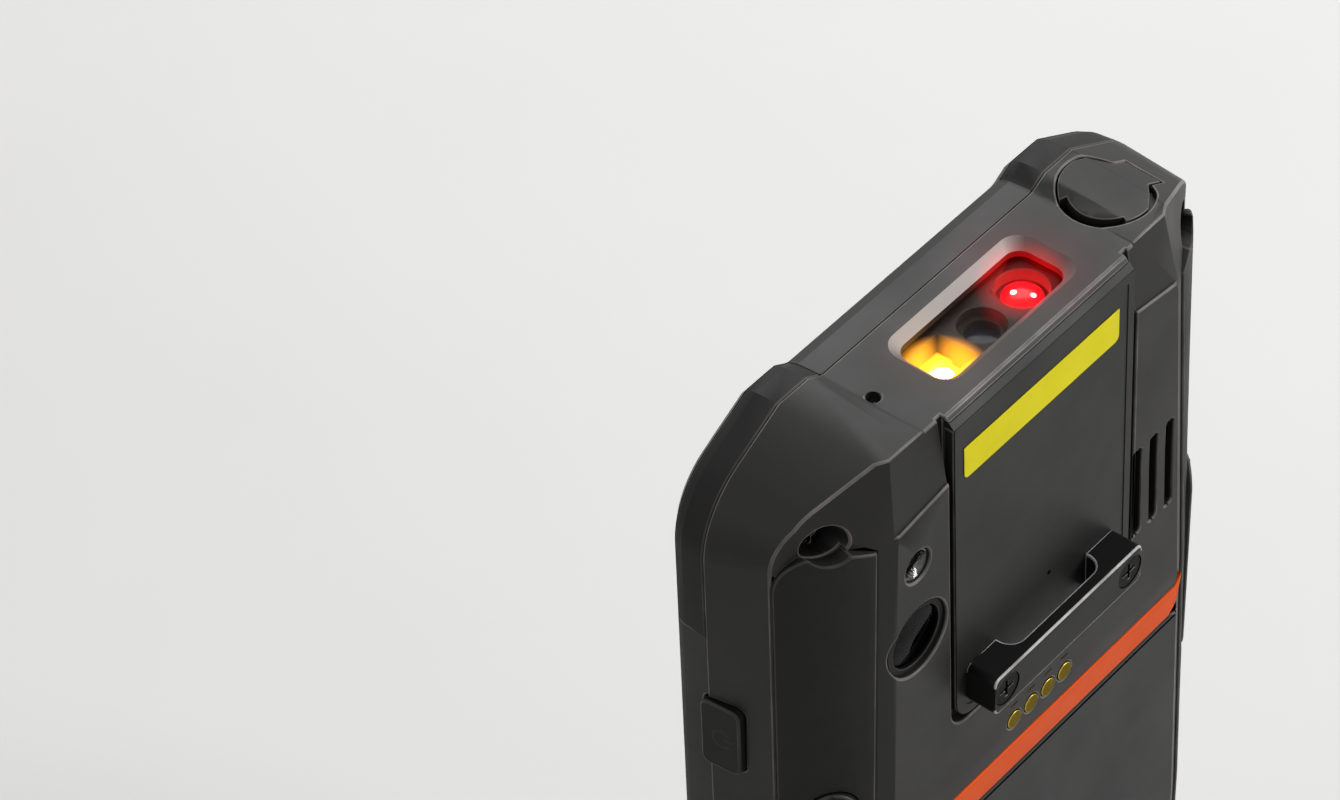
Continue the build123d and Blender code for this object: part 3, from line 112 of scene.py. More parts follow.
class TerminalColours(bpy.types.PropertyGroup):
    """Colours of the terminal's finishes."""
    case: colour_property("Case", "Moulded plastic of both housings", (0.013, 0.0122, 0.0117))
    bumper: colour_property("Bumpers", "Rubber of the corner bumpers", (0.010, 0.0096, 0.0094))
    grip: colour_property("Grips", "Rubber of the two flank grips", (0.0115, 0.0110, 0.0107))
    panel: colour_property("Raised panel", "Plastic of the panel on the back", (0.013, 0.0125, 0.0122))
    door: colour_property("Battery door", "Plastic of the battery door", (0.009, 0.0089, 0.0092))
    key: colour_property("Keys", "Plastic of the keys", (0.010, 0.0097, 0.0096))
    strip: colour_property("Strip", "Printed film strip on the raised panel", (0.82, 0.72, 0.006))
    stripe: colour_property("Stripe", "Trim stripe across the back", (0.78, 0.088, 0.005))
    anodised: colour_property("Strap bar", "Anodised metal of the strap bar", (0.012, 0.0118, 0.0118))
    screw: colour_property("Screws", "Darkened steel of the screws", (0.034, 0.0335, 0.033))
    steel: colour_property("Steel", "Bare steel of pins, cans and sockets", (0.55, 0.55, 0.56))
    gold: colour_property("Contacts", "Plating of the contacts", (0.21, 0.155, 0.032))
    glass: colour_property("Display glass", "Cover glass with its black back", (0.006, 0.006, 0.008))
    screen: colour_property("Screen", "Unlit display under the glass", (0.012, 0.014, 0.018))
    lens: colour_property("Lenses", "Coated glass of the lenses", (0.020, 0.016, 0.022))
    aimer: colour_property("Aimer", "Red light of the aimer", (1.0, 0.0, 0.0015))
    lamp: colour_property("Lamp", "Amber light of the scan lamp", (1.0, 0.36, 0.012))
    board: colour_property("Boards", "Solder mask of the boards", (0.012, 0.11, 0.05))
    battery: colour_property("Battery", "Moulded case of the battery pack", (0.055, 0.055, 0.06))
    black: colour_property("Black parts", "Matt black plastic inside", (0.012, 0.012, 0.012))
    engine: colour_property("Scan engine", "Chassis of the scan engine", (0.024, 0.014, 0.010))
    phosphor: colour_property("Flash die", "Unlit die behind the flash lens", (0.060, 0.058, 0.045))
    seal: colour_property("Seal", "Silicone of the seal", (0.020, 0.020, 0.020))


class TerminalSizes(bpy.types.PropertyGroup):
    """Sizes of the terminal's fine details."""
    housing_edge: length_property("Housing edges", "Rounding of the housings' edges", 0.26 * MM)
    key_edge: length_property("Key edges", "Rounding of the keys' edges", 0.30 * MM)
    metal_edge: length_property("Metal edges", "Rounding of the strap bar's edges", 0.24 * MM)
    small_edge: length_property("Small edges", "Rounding of screws, rings and trim", 0.10 * MM)
    grain: length_property("Grain", "Spacing of the moulded plastic's texture", 0.16 * MM)
    wire: length_property("Mesh wire", "Thickness of the wires over speaker and earpiece", 0.13 * MM)
    wire_pitch: length_property("Mesh pitch", "Spacing of those wires", 0.36 * MM)
    border: length_property("Panel border", "Width of the raised border round the panel", 1.15 * MM)
    border_height: length_property("Border height", "How far that border stands proud", 0.10 * MM)
    symbol_radius: length_property("Power symbol", "Radius of the ring on the power key", 1.25 * MM)
    symbol_line: length_property("Symbol line", "Line width of the power symbol", 0.34 * MM)
    mark_length: length_property("Pad marks", "Length of the dash above each charging pad", 1.30 * MM)
    mark_height: length_property("Mark height", "Height of those dashes", 0.34 * MM)


class TerminalStage(bpy.types.PropertyGroup):
    """Floor, lights and background."""
    floor_size: FloatProperty(name="Floor", description="Side of the floor", default=6.0, unit="LENGTH")
    floor_colour: colour_property("Floor colour", "Colour of the pale floor", (0.70, 0.70, 0.69))
    key_power: power_property("Key light", "Power of the soft box behind the terminal", 10.0)
    top_power: power_property("Top light", "Power of the soft box above the display side", 8.0)
    fill_power: power_property("Fill light", "Power of the soft box on the power key's side", 1.6)
    ambient: strength_property("Ambient", "Strength of the even room light", 0.24)
    aimer_glow: strength_property("Aimer glow", "Strength of the aimer's light", 5.0)
    lamp_glow: strength_property("Lamp glow", "Strength of the scan lamp's light", 7.0)
    seed: IntProperty(name="Seed", description="Offset of the random surface patterns", default=3, min=0)


# ---------------------------------------------------------------- mesh helpers
def add_piece(name, mesh, node, slot, finish=None):
    """Add a mesh as a piece that rides with a node, in its slot's finish or another one."""
    piece = bpy.data.objects.new(name, mesh)
    bpy.context.scene.collection.objects.link(piece)
    mesh.materials.clear()
    mesh.materials.append(MATERIALS[finish or slot])
    body = BODY_OF[node]
    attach(piece, body)
    return piece


def smooth_by_angle(mesh):
    """Smooth shading with hard edges where the surface really turns."""
    mesh.shade_smooth()
    mesh.set_sharp_from_angle(angle=math.radians(TURNED_CREASE))


def mesh_from(bm, name):
    """Turn an edit mesh into a mesh and free it."""
    mesh = bpy.data.meshes.new(name)
    bm.to_mesh(mesh)
    bm.free()
    return mesh


def round_edges(bm, edges, width, segments, slide=True):
    """Round some edges of an edit mesh and return the new faces."""
    made = bmesh.ops.bevel(
        bm, geom=edges, offset=width, offset_type="OFFSET", segments=segments, profile=0.5,
        affect="EDGES", clamp_overlap=False, loop_slide=slide, material=-1,
    )
    return made["faces"]


def outer_edges(bm, width, spare=None):
    """Sharp outward edges that are long enough to round, apart from those that spare() names."""
    sharp = math.radians(SHARP_EDGE)
    shortest = 0.4 * width
    return [
        edge for edge in bm.edges
        if edge.is_manifold and edge.is_convex and sharp < edge.calc_face_angle(0.0) <= math.pi
        and edge.calc_length() > shortest
        and not (spare and spare((edge.verts[0].co + edge.verts[1].co) / (2 * MM)))
    ]


def has_room(edge, tree, width):
    """Whether the walls on both sides of an edge are thick enough, and open enough, to round it."""
    depth = 0.02 * MM
    wall = 2.2 * width
    beside = 0.05 * MM
    above = 0.01 * MM
    opening = 1.0 * MM
    middle = (edge.verts[0].co + edge.verts[1].co) / 2
    first, second = (face.normal for face in edge.link_faces)
    inside = middle - (first + second) * depth
    for own, other in ((first, second), (second, first)):
        if tree.ray_cast(inside, -own, wall)[0] is not None:
            return False
        if tree.ray_cast(middle - other * beside + own * above, own, opening)[0] is not None:
            return False
    return True


def rounded_copy(node, width, segments, spare, roomy, joined):
    """Merged copy of a node's mesh with its sharp outer edges rounded and marked for rubbing plus a painted
    edge highlight.
    """
    bm = bmesh.new()
    bm.from_mesh(frame["nodes"][node].data)
    bmesh.ops.remove_doubles(bm, verts=bm.verts, dist=SAME_PLACE)
    if joined:
        bmesh.ops.dissolve_limit(bm, angle_limit=math.radians(SAME_FACE), verts=bm.verts, edges=bm.edges)
    worn_and_highlit = bm.faces.layers.float.new(WEAR_AND_EDGE_HIGHLIGHT)
    edges = outer_edges(bm, width, spare) if width > 0 else []
    if roomy:
        tree = BVHTree.FromBMesh(bm)
        edges = [edge for edge in edges if has_room(edge, tree, width)]
    if edges:
        # the rounded faces carry rubbing plus a painted edge highlight
        for face in round_edges(bm, edges, width, segments, joined):
            face[worn_and_highlit] = 1.0
    for face in bm.faces:
        face.smooth = True
    for edge in bm.edges:
        rounded = any(face[worn_and_highlit] > 0.5 for face in edge.link_faces)
        edge.smooth = edge.calc_face_angle(0.0) < math.radians(ROUNDED_CREASE if rounded else CREASE)
    return mesh_from(bm, node + "_rounded")


def mark_painted_sheen(mesh, low, high):
    """Mark the sloped faces inside a box, lengths in mm, for a painted sheen, most where they face +Y."""
    steepest = 0.4
    flattest = 0.95
    least = 0.35
    gain = 1.4
    marks = mesh.attributes.new(PAINTED_SHEEN, "FLOAT", "FACE")
    for face in mesh.polygons:
        centre = face.center / MM
        inside = all(low[axis] < centre[axis] < high[axis] for axis in range(3))
        if inside and steepest < face.normal.z < flattest:
            marks.data[face.index].value = min(1.0, max(least, gain * face.normal.y))


def finish_node(node, width, segments=2, finish=None, spare=None, roomy=False, joined=True):
    """Replace a node by its rounded copy with the finish of its slot, or another one."""
    mesh = rounded_copy(node, width, segments, spare, roomy, joined)
    piece = add_piece(node + "_finished", mesh, node, SLOT_OF[node], finish)
    even = piece.modifiers.new("Even shading", "WEIGHTED_NORMAL")
    even.keep_sharp = True
    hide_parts(node)
    return piece


def box_mm(node):
    """Lowest and highest corner of a node, in millimetres."""
    low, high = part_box(node)
    return Vector(low) / MM, Vector(high) / MM


def surface_hit(node, start, direction):
    """Place and normal where a ray first meets a node. Lengths in metres."""
    mesh = frame["nodes"][node].data
    tree = BVHTree.FromPolygons([v.co for v in mesh.vertices], [tuple(p.vertices) for p in mesh.polygons])
    place, normal, _, _ = tree.ray_cast(Vector(start), Vector(direction))
    if place is None:
        raise RuntimeError("no surface of " + node + " on the ray")
    return place, normal


def facing(place, normal, up):
    """Matrix of a flat piece: local z along the normal, local y towards up."""
    z_axis = Vector(normal).normalized()
    x_axis = Vector(up).cross(z_axis).normalized()
    y_axis = z_axis.cross(x_axis)
    matrix = Matrix((x_axis, y_axis, z_axis)).transposed().to_4x4()
    matrix.translation = Vector(place)
    return matrix


def back_axis(low, high):
    """Matrix with its z axis along +Y through a box's middle, and its origin where y is 0."""
    return facing(((low.x + high.x) / 2 * MM, 0, (low.z + high.z) / 2 * MM), (0, 1, 0), (0, 0, 1))


def lathe(name, profile, matrix, steps=64):
    """Closed solid of revolution about a matrix's z axis: profile is (radius, height) in mm."""
    bm = bmesh.new()
    rings = []
    for radius, level in profile:
        if radius <= 0:
            rings.append([bm.verts.new((0.0, 0.0, level * MM))])
            continue
        ring = []
        for step in range(steps):
            turn = 2 * math.pi * step / steps
            x = radius * math.cos(turn)
            y = radius * math.sin(turn)
            ring.append(bm.verts.new((x * MM, y * MM, level * MM)))
        rings.append(ring)
    for first, second in zip(rings, rings[1:]):
        for step in range(steps):
            after = (step + 1) % steps
            corners = [first[step % len(first)], first[after % len(first)],
                       second[after % len(second)], second[step % len(second)]]
            unique = list(dict.fromkeys(corners))
            if len(unique) > 2:
                bm.faces.new(unique)
    bmesh.ops.recalc_face_normals(bm, faces=bm.faces)
    bm.transform(matrix)
    mesh = mesh_from(bm, name)
    smooth_by_angle(mesh)
    return mesh


def prism(name, profile, low_x, high_x):
    """Straight bar along X with a profile of (y, z) points. Lengths in mm."""
    bm = bmesh.new()
    ends = [[bm.verts.new((x * MM, y * MM, z * MM)) for y, z in profile] for x in (low_x, high_x)]
    count = len(profile)
    for first in range(count):
        second = (first + 1) % count
        bm.faces.new((ends[0][first], ends[0][second], ends[1][second], ends[1][first]))
    for end in ends:
        bm.faces.new(end)
    bmesh.ops.recalc_face_normals(bm, faces=bm.faces)
    return mesh_from(bm, name)


def dome_profile(radius, foot, height, steps=10):
    """Points of a low dome from its middle out to its rim, in mm."""
    return [
        (radius * math.sin(math.pi / 2 * step / steps), foot + height * math.cos(math.pi / 2 * step / steps))
        for step in range(steps + 1)
    ]


def flat_solid(name, loops, low, high, matrix):
    """Thin solid between two levels from strips, each given as (outer row, inner row, closed)."""
    bm = bmesh.new()
    for outer, inner, closed in loops:
        count = len(outer)
        levels = []
        for row in (outer, inner):
            for level in (low, high):
                levels.append([bm.verts.new((x, y, level)) for x, y in row])
        outer_low, outer_high, inner_low, inner_high = levels
        for first in range(count if closed else count - 1):
            second = (first + 1) % count
            for a, b in ((outer_high, inner_high), (inner_high, inner_low),
                         (inner_low, outer_low), (outer_low, outer_high)):
                bm.faces.new((a[first], a[second], b[second], b[first]))
        if not closed:
            for end in (0, count - 1):
                bm.faces.new((outer_low[end], outer_high[end], inner_high[end], inner_low[end]))
    bmesh.ops.recalc_face_normals(bm, faces=bm.faces)
    bm.transform(matrix)
    return mesh_from(bm, name)


def arc_rows(radius, line, start, end, steps):
    """Outer and inner rows of points along an arc, angles in degrees from local +y."""
    outer = []
    inner = []
    for step in range(steps + 1):
        turn = math.radians(start + (end - start) * step / steps)
        outer.append(((radius + line / 2) * math.sin(turn), (radius + line / 2) * math.cos(turn)))
        inner.append(((radius - line / 2) * math.sin(turn), (radius - line / 2) * math.cos(turn)))
    return outer, inner


# ---------------------------------------------------------------- repeated pieces
REPEAT_INPUTS = (
    ("Columns", "NodeSocketInt"), ("Rows", "NodeSocketInt"), ("Pitch", "NodeSocketFloat"),
    ("Bar size", "NodeSocketVector"), ("Start", "NodeSocketVector"), ("Finish", "NodeSocketMaterial"),
)


def repeat_tree():
    """Geometry nodes that set out small bars in columns and rows."""
    if "Bars in rows" in bpy.data.node_groups:
        return bpy.data.node_groups["Bars in rows"]
    tree = bpy.data.node_groups.new("Bars in rows", "GeometryNodeTree")
    tree.interface.new_socket("Geometry", in_out="OUTPUT", socket_type="NodeSocketGeometry")
    for name, kind in REPEAT_INPUTS:
        tree.interface.new_socket(name, in_out="INPUT", socket_type=kind)
    nodes = tree.nodes
    links = tree.links
    given = nodes.new("NodeGroupInput")
    result = nodes.new("NodeGroupOutput")
    bar = nodes.new("GeometryNodeMeshCube")
    column_step = nodes.new("ShaderNodeCombineXYZ")
    row_step = nodes.new("ShaderNodeCombineXYZ")
    columns = nodes.new("GeometryNodeMeshLine")
    rows = nodes.new("GeometryNodeMeshLine")
    in_columns = nodes.new("GeometryNodeInstanceOnPoints")
    in_rows = nodes.new("GeometryNodeInstanceOnPoints")
    real = nodes.new("GeometryNodeRealizeInstances")
    finish = nodes.new("GeometryNodeSetMaterial")
    links.new(given.outputs["Bar size"], bar.inputs["Size"])
    links.new(given.outputs["Pitch"], column_step.inputs["X"])
    links.new(given.outputs["Pitch"], row_step.inputs["Y"])
    links.new(given.outputs["Columns"], columns.inputs["Count"])
    links.new(column_step.outputs[0], columns.inputs["Offset"])
    links.new(given.outputs["Rows"], rows.inputs["Count"])
    links.new(row_step.outputs[0], rows.inputs["Offset"])
    links.new(given.outputs["Start"], rows.inputs["Start Location"])
    links.new(columns.outputs[0], in_columns.inputs["Points"])
    links.new(bar.outputs["Mesh"], in_columns.inputs["Instance"])
    links.new(rows.outputs[0], in_rows.inputs["Points"])
    links.new(in_columns.outputs[0], in_rows.inputs["Instance"])
    links.new(in_rows.outputs[0], real.inputs[0])
    links.new(real.outputs[0], finish.inputs["Geometry"])
    links.new(given.outputs["Finish"], finish.inputs["Material"])
    links.new(finish.outputs[0], result.inputs[0])
    return tree


def bars(name, columns, rows, pitch, size, finish, matrix):
    """Mesh of small bars in columns and rows, centred on a matrix's place. Lengths in metres."""
    tree = repeat_tree()
    carrier = bpy.data.objects.new(name + "_carrier", bpy.data.meshes.new(name + "_carrier"))
    bpy.context.scene.collection.objects.link(carrier)
    modifier = carrier.modifiers.new("Bars", "NODES")
    modifier.node_group = tree
    start = (-(columns - 1) * pitch / 2, -(rows - 1) * pitch / 2, 0.0)
    values = {
        "Columns": columns, "Rows": rows, "Pitch": pitch, "Bar size": size, "Start": start,
        "Finish": MATERIALS[finish],
    }
    for item in tree.interface.items_tree:
        if item.in_out == "INPUT" and item.name in values:
            modifier[item.identifier] = values[item.name]
    graph = bpy.context.evaluated_depsgraph_get()
    mesh = bpy.data.meshes.new_from_object(carrier.evaluated_get(graph))
    bpy.data.objects.remove(carrier)
    mesh.transform(matrix)
    mesh.name = name
    return mesh


def join_meshes(name, meshes):
    """One mesh from several."""
    bm = bmesh.new()
    for mesh in meshes:
        bm.from_mesh(mesh)
        bpy.data.meshes.remove(mesh)
    return mesh_from(bm, name)


# ---------------------------------------------------------------- materials
class Surface:
    """A material's node tree, with short calls for the nodes that the finishes share."""

    def __init__(self, name):
        self.material = bpy.data.materials.new(name)
        self.material.use_nodes = True
        self.tree = self.material.node_tree
        self.tree.nodes.clear()
        self.out = self.tree.nodes.new("ShaderNodeOutputMaterial")
        self.base = self.tree.nodes.new("ShaderNodeBsdfPrincipled")
        self.link(self.base.outputs[0], self.out.inputs["Surface"])
        self.place = self.tree.nodes.new("ShaderNodeTexCoord").outputs["Object"]

    @classmethod
    def around(cls, material):
        """The same calls for a material that is already made."""
        surface = cls.__new__(cls)
        surface.material = material
        surface.tree = material.node_tree
        kinds = {node.type: node for node in surface.tree.nodes}
        surface.base = kinds["BSDF_PRINCIPLED"]
        surface.place = kinds["TEX_COORD"].outputs["Object"]
        return surface

    def link(self, source, target):
        """Join two sockets."""
        self.tree.links.new(source, target)

    def set(self, **values):
        """Set the shader's own sockets; an underscore stands for a space."""
        for name, value in values.items():
            self.base.inputs[name.replace("_", " ")].default_value = value

    def noise(self, scale, detail=3.0, roughness=0.55, stretch=None, shift=0.0):
        """Noise over the piece's own coordinates."""
        node = self.tree.nodes.new("ShaderNodeTexNoise")
        node.inputs["Scale"].default_value = scale
        node.inputs["Detail"].default_value = detail
        node.inputs["Roughness"].default_value = roughness
        mapping = self.tree.nodes.new("ShaderNodeMapping")
        mapping.inputs["Location"].default_value = (shift, shift, shift)
        if stretch:
            mapping.inputs["Scale"].default_value = stretch
        self.link(self.place, mapping.inputs["Vector"])
        self.link(mapping.outputs[0], node.inputs["Vector"])
        return node.outputs["Fac"]

    def spread(self, value, low, high, floor=0.3, ceiling=0.7):
        """Map a pattern to a range of values."""
        node = self.tree.nodes.new("ShaderNodeMapRange")
        node.inputs["From Min"].default_value = floor
        node.inputs["From Max"].default_value = ceiling
        node.inputs["To Min"].default_value = low
        node.inputs["To Max"].default_value = high
        self.link(value, node.inputs["Value"])
        return node.outputs["Result"]

    def maths(self, operation, *values):
        """Result of a math node over sockets or plain numbers."""
        node = self.tree.nodes.new("ShaderNodeMath")
        node.operation = operation
        for value, socket in zip(values, node.inputs):
            if isinstance(value, bpy.types.NodeSocket):
                self.link(value, socket)
            else:
                socket.default_value = value
        return node.outputs[0]

    def times(self, first, second):
        """Product of two values."""
        return self.maths("MULTIPLY", first, second)

    def mix(self, amount, first, second):
        """Mix of two colours, each a socket or a plain colour."""
        node = self.tree.nodes.new("ShaderNodeMix")
        node.data_type = "RGBA"
        self.link(amount, node.inputs["Factor"])
        for value, socket in ((first, node.inputs[6]), (second, node.inputs[7])):
            if isinstance(value, bpy.types.NodeSocket):
                self.link(value, socket)
            else:
                socket.default_value = (*value, 1.0)
        return node.outputs[2]

    def bump(self, height, distance, strength, under=None):
        """Bump from a height pattern, on top of another if there is one."""
        node = self.tree.nodes.new("ShaderNodeBump")
        node.inputs["Strength"].default_value = strength
        node.inputs["Distance"].default_value = distance
        self.link(height, node.inputs["Height"])
        if under is not None:
            self.link(under, node.inputs["Normal"])
        return node.outputs[0]

    def worn_and_highlit_edges(self):
        """Mask of the rounded edges, for rubbing plus a painted highlight: 1 on rounded edges, broken up by
        noise.
        """
        node = self.tree.nodes.new("ShaderNodeAttribute")
        node.attribute_name = WEAR_AND_EDGE_HIGHLIGHT
        return self.times(node.outputs["Fac"], self.spread(self.noise(260.0, shift=0.4), 0.45, 1.0))


def shade(colour, factor):
    """A colour made lighter or darker."""
    return tuple(min(1.0, channel * factor) for channel in colour)


def moulded(name, colour, roughness, grain, depth, wear_and_highlight, specular, shift=0.0, painted_sheen_slope=False):
    """Moulded plastic or rubber: fine grain, slight tone changes, and rounded edges paler from rubbing plus a
    painted highlight.
    """
    tone = 0.10
    speck = 1.5
    slope = 26.0
    edge_gloss = -0.16
    surface = Surface(name)
    colour = tuple(colour)
    clouds = surface.spread(surface.noise(28.0, 5.0, shift=shift), 0.0, 1.0)
    tones = surface.mix(clouds, shade(colour, 1 - tone), shade(colour, 1 + tone))
    specks = surface.spread(surface.noise(2600.0, 2.0), 0.0, 0.22, 0.60, 0.75)
    tones = surface.mix(specks, tones, shade(colour, speck))
    # paler rounded edges: rubbing plus a painted highlight
    tones = surface.mix(surface.worn_and_highlit_edges(), tones, shade(colour, wear_and_highlight))
    # painted sheen: the marked slope faces are lightened up to 26 times, standing in for reflected light
    if painted_sheen_slope:
        painted_sheen = surface.tree.nodes.new("ShaderNodeAttribute")
        painted_sheen.attribute_name = PAINTED_SHEEN
        tones = surface.mix(painted_sheen.outputs["Fac"], tones, shade(colour, slope))
    surface.link(tones, surface.base.inputs["Base Color"])
    rough = surface.spread(surface.noise(90.0, 4.0, shift=shift), roughness - 0.05, roughness + 0.05)
    satin = surface.maths("MULTIPLY_ADD", surface.worn_and_highlit_edges(), edge_gloss, rough)
    surface.link(satin, surface.base.inputs["Roughness"])
    fine = surface.bump(surface.noise(1.0 / grain, 2.0, 0.6), depth, 0.7)
    waves = surface.bump(surface.noise(35.0, 1.0), 0.02 * MM, 0.25, fine)
    surface.link(waves, surface.base.inputs["Normal"])
    surface.set(Specular_IOR_Level=specular)
    return surface.material


def metal(name, colour, roughness, stretch, wear_and_highlight=1.6, edge_tint=1.0):
    """Metal with fine lines along one direction, and edges brighter from rubbing plus a painted highlight."""
    scratch = 0.004 * MM
    surface = Surface(name)
    colour = tuple(colour)
    lines = surface.noise(1400.0, 3.0, 0.6, stretch)
    tones = surface.mix(surface.spread(lines, 0.0, 1.0), shade(colour, 0.88), shade(colour, 1.12))
    # brighter rounded edges: rubbing plus a painted highlight
    tones = surface.mix(surface.worn_and_highlit_edges(), tones, shade(colour, wear_and_highlight))
    surface.link(tones, surface.base.inputs["Base Color"])
    surface.link(surface.spread(lines, roughness - 0.07, roughness + 0.07), surface.base.inputs["Roughness"])
    surface.link(surface.bump(lines, scratch, 0.5), surface.base.inputs["Normal"])
    surface.set(Metallic=1.0, Specular_Tint=(edge_tint, edge_tint, edge_tint, 1.0))
    return surface.material


def printed(name, colour, roughness):
    """Printed film or lacquered trim: even colour with faint mottling and a soft coat."""
    surface = Surface(name)
    colour = tuple(colour)
    mottle = surface.spread(surface.noise(140.0, 4.0), 0.0, 1.0)
    tones = surface.mix(mottle, shade(colour, 0.95), shade(colour, 1.04))
    tones = surface.mix(surface.worn_and_highlit_edges(), tones, shade(colour, 1.25))
    surface.link(tones, surface.base.inputs["Base Color"])
    surface.link(surface.spread(surface.noise(300.0), roughness - 0.05, roughness + 0.05),
                 surface.base.inputs["Roughness"])
    surface.link(surface.bump(surface.noise(3200.0, 2.0), 0.004 * MM, 0.4), surface.base.inputs["Normal"])
    surface.set(Specular_IOR_Level=0.10)
    return surface.material


def polished(name, colour, roughness, specular):
    """Dark glass or gloss plastic with faint smears."""
    surface = Surface(name)
    colour = tuple(colour)
    smear = surface.noise(45.0, 5.0, 0.65)
    surface.link(surface.mix(surface.spread(smear, 0.0, 1.0), shade(colour, 0.85), shade(colour, 1.2)),
                 surface.base.inputs["Base Color"])
    surface.link(surface.spread(smear, roughness, roughness + 0.08), surface.base.inputs["Roughness"])
    surface.set(Specular_IOR_Level=specular)
    return surface.material


def clear_pane(name, colour, haze, mirror):
    """Clear pane: mostly open to what lies behind it, with mirror reflections and faint dust."""
    surface = Surface(name)
    tree = surface.tree
    tree.nodes.remove(surface.base)
    through = tree.nodes.new("ShaderNodeBsdfTransparent")
    through.inputs["Color"].default_value = (*colour, 1.0)
    gloss = tree.nodes.new("ShaderNodeBsdfGlossy")
    dust = surface.noise(180.0, 4.0)
    surface.link(surface.spread(dust, 0.02, 0.10), gloss.inputs["Roughness"])
    view = tree.nodes.new("ShaderNodeFresnel")
    view.inputs["IOR"].default_value = 1.45
    blend = surface.maths("MULTIPLY_ADD", view.outputs[0], mirror, surface.spread(dust, 0.0, haze))
    backfacing = tree.nodes.new("ShaderNodeNewGeometry").outputs["Backfacing"]
    outside = surface.maths("SUBTRACT", 1.0, backfacing)
    both = tree.nodes.new("ShaderNodeMixShader")
    surface.link(surface.times(blend, outside), both.inputs["Fac"])
    surface.link(through.outputs[0], both.inputs[1])
    surface.link(gloss.outputs[0], both.inputs[2])
    surface.link(both.outputs[0], surface.out.inputs["Surface"])
    return surface.material


def near(surface, centre, inner, outer):
    """1 within an inner distance of a point, falling to 0 at an outer distance. Lengths in mm."""
    tree = surface.tree
    reach = tree.nodes.new("ShaderNodeVectorMath")
    reach.operation = "DISTANCE"
    surface.link(surface.place, reach.inputs[0])
    reach.inputs[1].default_value = tuple(value * MM for value in centre)
    fall = tree.nodes.new("ShaderNodeMapRange")
    fall.interpolation_type = "SMOOTHSTEP"
    fall.inputs["From Min"].default_value = inner * MM
    fall.inputs["From Max"].default_value = outer * MM
    fall.inputs["To Min"].default_value = 1.0
    fall.inputs["To Max"].default_value = 0.0
    surface.link(reach.outputs["Value"], fall.inputs["Value"])
    return fall.outputs["Result"]


def glows(surface, spots):
    """Emission near some places, real on the lit lenses and painted light on surfaces that are no lamp: each
    is (centre, inner, outer, colour, strength), in mm.
    """
    total = None
    for centre, inner, outer, colour, strength in spots:
        amount = surface.times(near(surface, centre, inner, outer), strength)
        tint = surface.tree.nodes.new("ShaderNodeVectorMath")
        tint.operation = "SCALE"
        tint.inputs[0].default_value = tuple(colour)
        surface.link(amount, tint.inputs["Scale"])
        if total is None:
            total = tint.outputs[0]
            continue
        joined = surface.tree.nodes.new("ShaderNodeVectorMath")
        joined.operation = "ADD"
        surface.link(total, joined.inputs[0])
        surface.link(tint.outputs[0], joined.inputs[1])
        total = joined.outputs[0]
    surface.link(total, surface.base.inputs["Emission Color"])
    surface.set(Emission_Strength=1.0)


def lit_lens(name, colour, spots):
    """Clear coloured lens that is lit from within."""
    surface = Surface(name)
    colour = tuple(colour)
    swirl = surface.spread(surface.noise(500.0, 3.0), 0.0, 1.0)
    tones = surface.mix(swirl, shade(colour, 0.05), shade(colour, 0.09))
    surface.link(tones, surface.base.inputs["Base Color"])
    surface.link(surface.spread(surface.noise(700.0), 0.06, 0.14), surface.base.inputs["Roughness"])
    glows(surface, spots)
    surface.set(Specular_IOR_Level=0.15)
    return surface.material


def screen_glass(name, border, screen, low, high):
    """Black-backed cover glass with the unlit display showing inside a rectangle, in metres."""
    surface = Surface(name)
    tree = surface.tree
    split = tree.nodes.new("ShaderNodeSeparateXYZ")
    surface.link(surface.place, split.inputs[0])
    inside = None
    for axis, lowest, highest in (("X", low[0], high[0]), ("Z", low[2], high[2])):
        for operation, limit in (("GREATER_THAN", lowest), ("LESS_THAN", highest)):
            test = surface.maths(operation, split.outputs[axis], limit)
            inside = test if inside is None else surface.times(inside, test)
    smear = surface.noise(38.0, 5.0, 0.6)
    tones = surface.mix(surface.spread(smear, 0.0, 1.0), tuple(border), shade(border, 1.6))
    dots = surface.spread(surface.noise(4200.0, 1.0), 0.0, 1.0)
    pixels = surface.mix(dots, tuple(screen), shade(screen, 1.5))
    surface.link(surface.mix(inside, tones, pixels), surface.base.inputs["Base Color"])
    surface.link(surface.spread(smear, 0.04, 0.13), surface.base.inputs["Roughness"])
    surface.set(Coat_Weight=1.0, Coat_Roughness=0.02)
    return surface.material


def solder_mask(name, colour):
    """Circuit board lacquer with faint traces under it."""
    surface = Surface(name)
    colour = tuple(colour)
    traces = surface.tree.nodes.new("ShaderNodeTexBrick")
    traces.inputs["Scale"].default_value = 420.0
    traces.inputs["Mortar Size"].default_value = 0.03
    traces.inputs["Color1"].default_value = (*colour, 1.0)
    traces.inputs["Color2"].default_value = (*shade(colour, 1.15), 1.0)
    traces.inputs["Mortar"].default_value = (*shade(colour, 1.9), 1.0)
    turn = surface.tree.nodes.new("ShaderNodeMapping")
    turn.inputs["Rotation"].default_value = (math.pi / 2, 0.0, 0.0)
    surface.link(surface.place, turn.inputs["Vector"])
    surface.link(turn.outputs[0], traces.inputs["Vector"])
    surface.link(traces.outputs["Color"], surface.base.inputs["Base Color"])
    surface.link(surface.bump(traces.outputs["Fac"], 0.02 * MM, 0.6), surface.base.inputs["Normal"])
    surface.link(surface.spread(surface.noise(200.0), 0.25, 0.40), surface.base.inputs["Roughness"])
    return surface.material


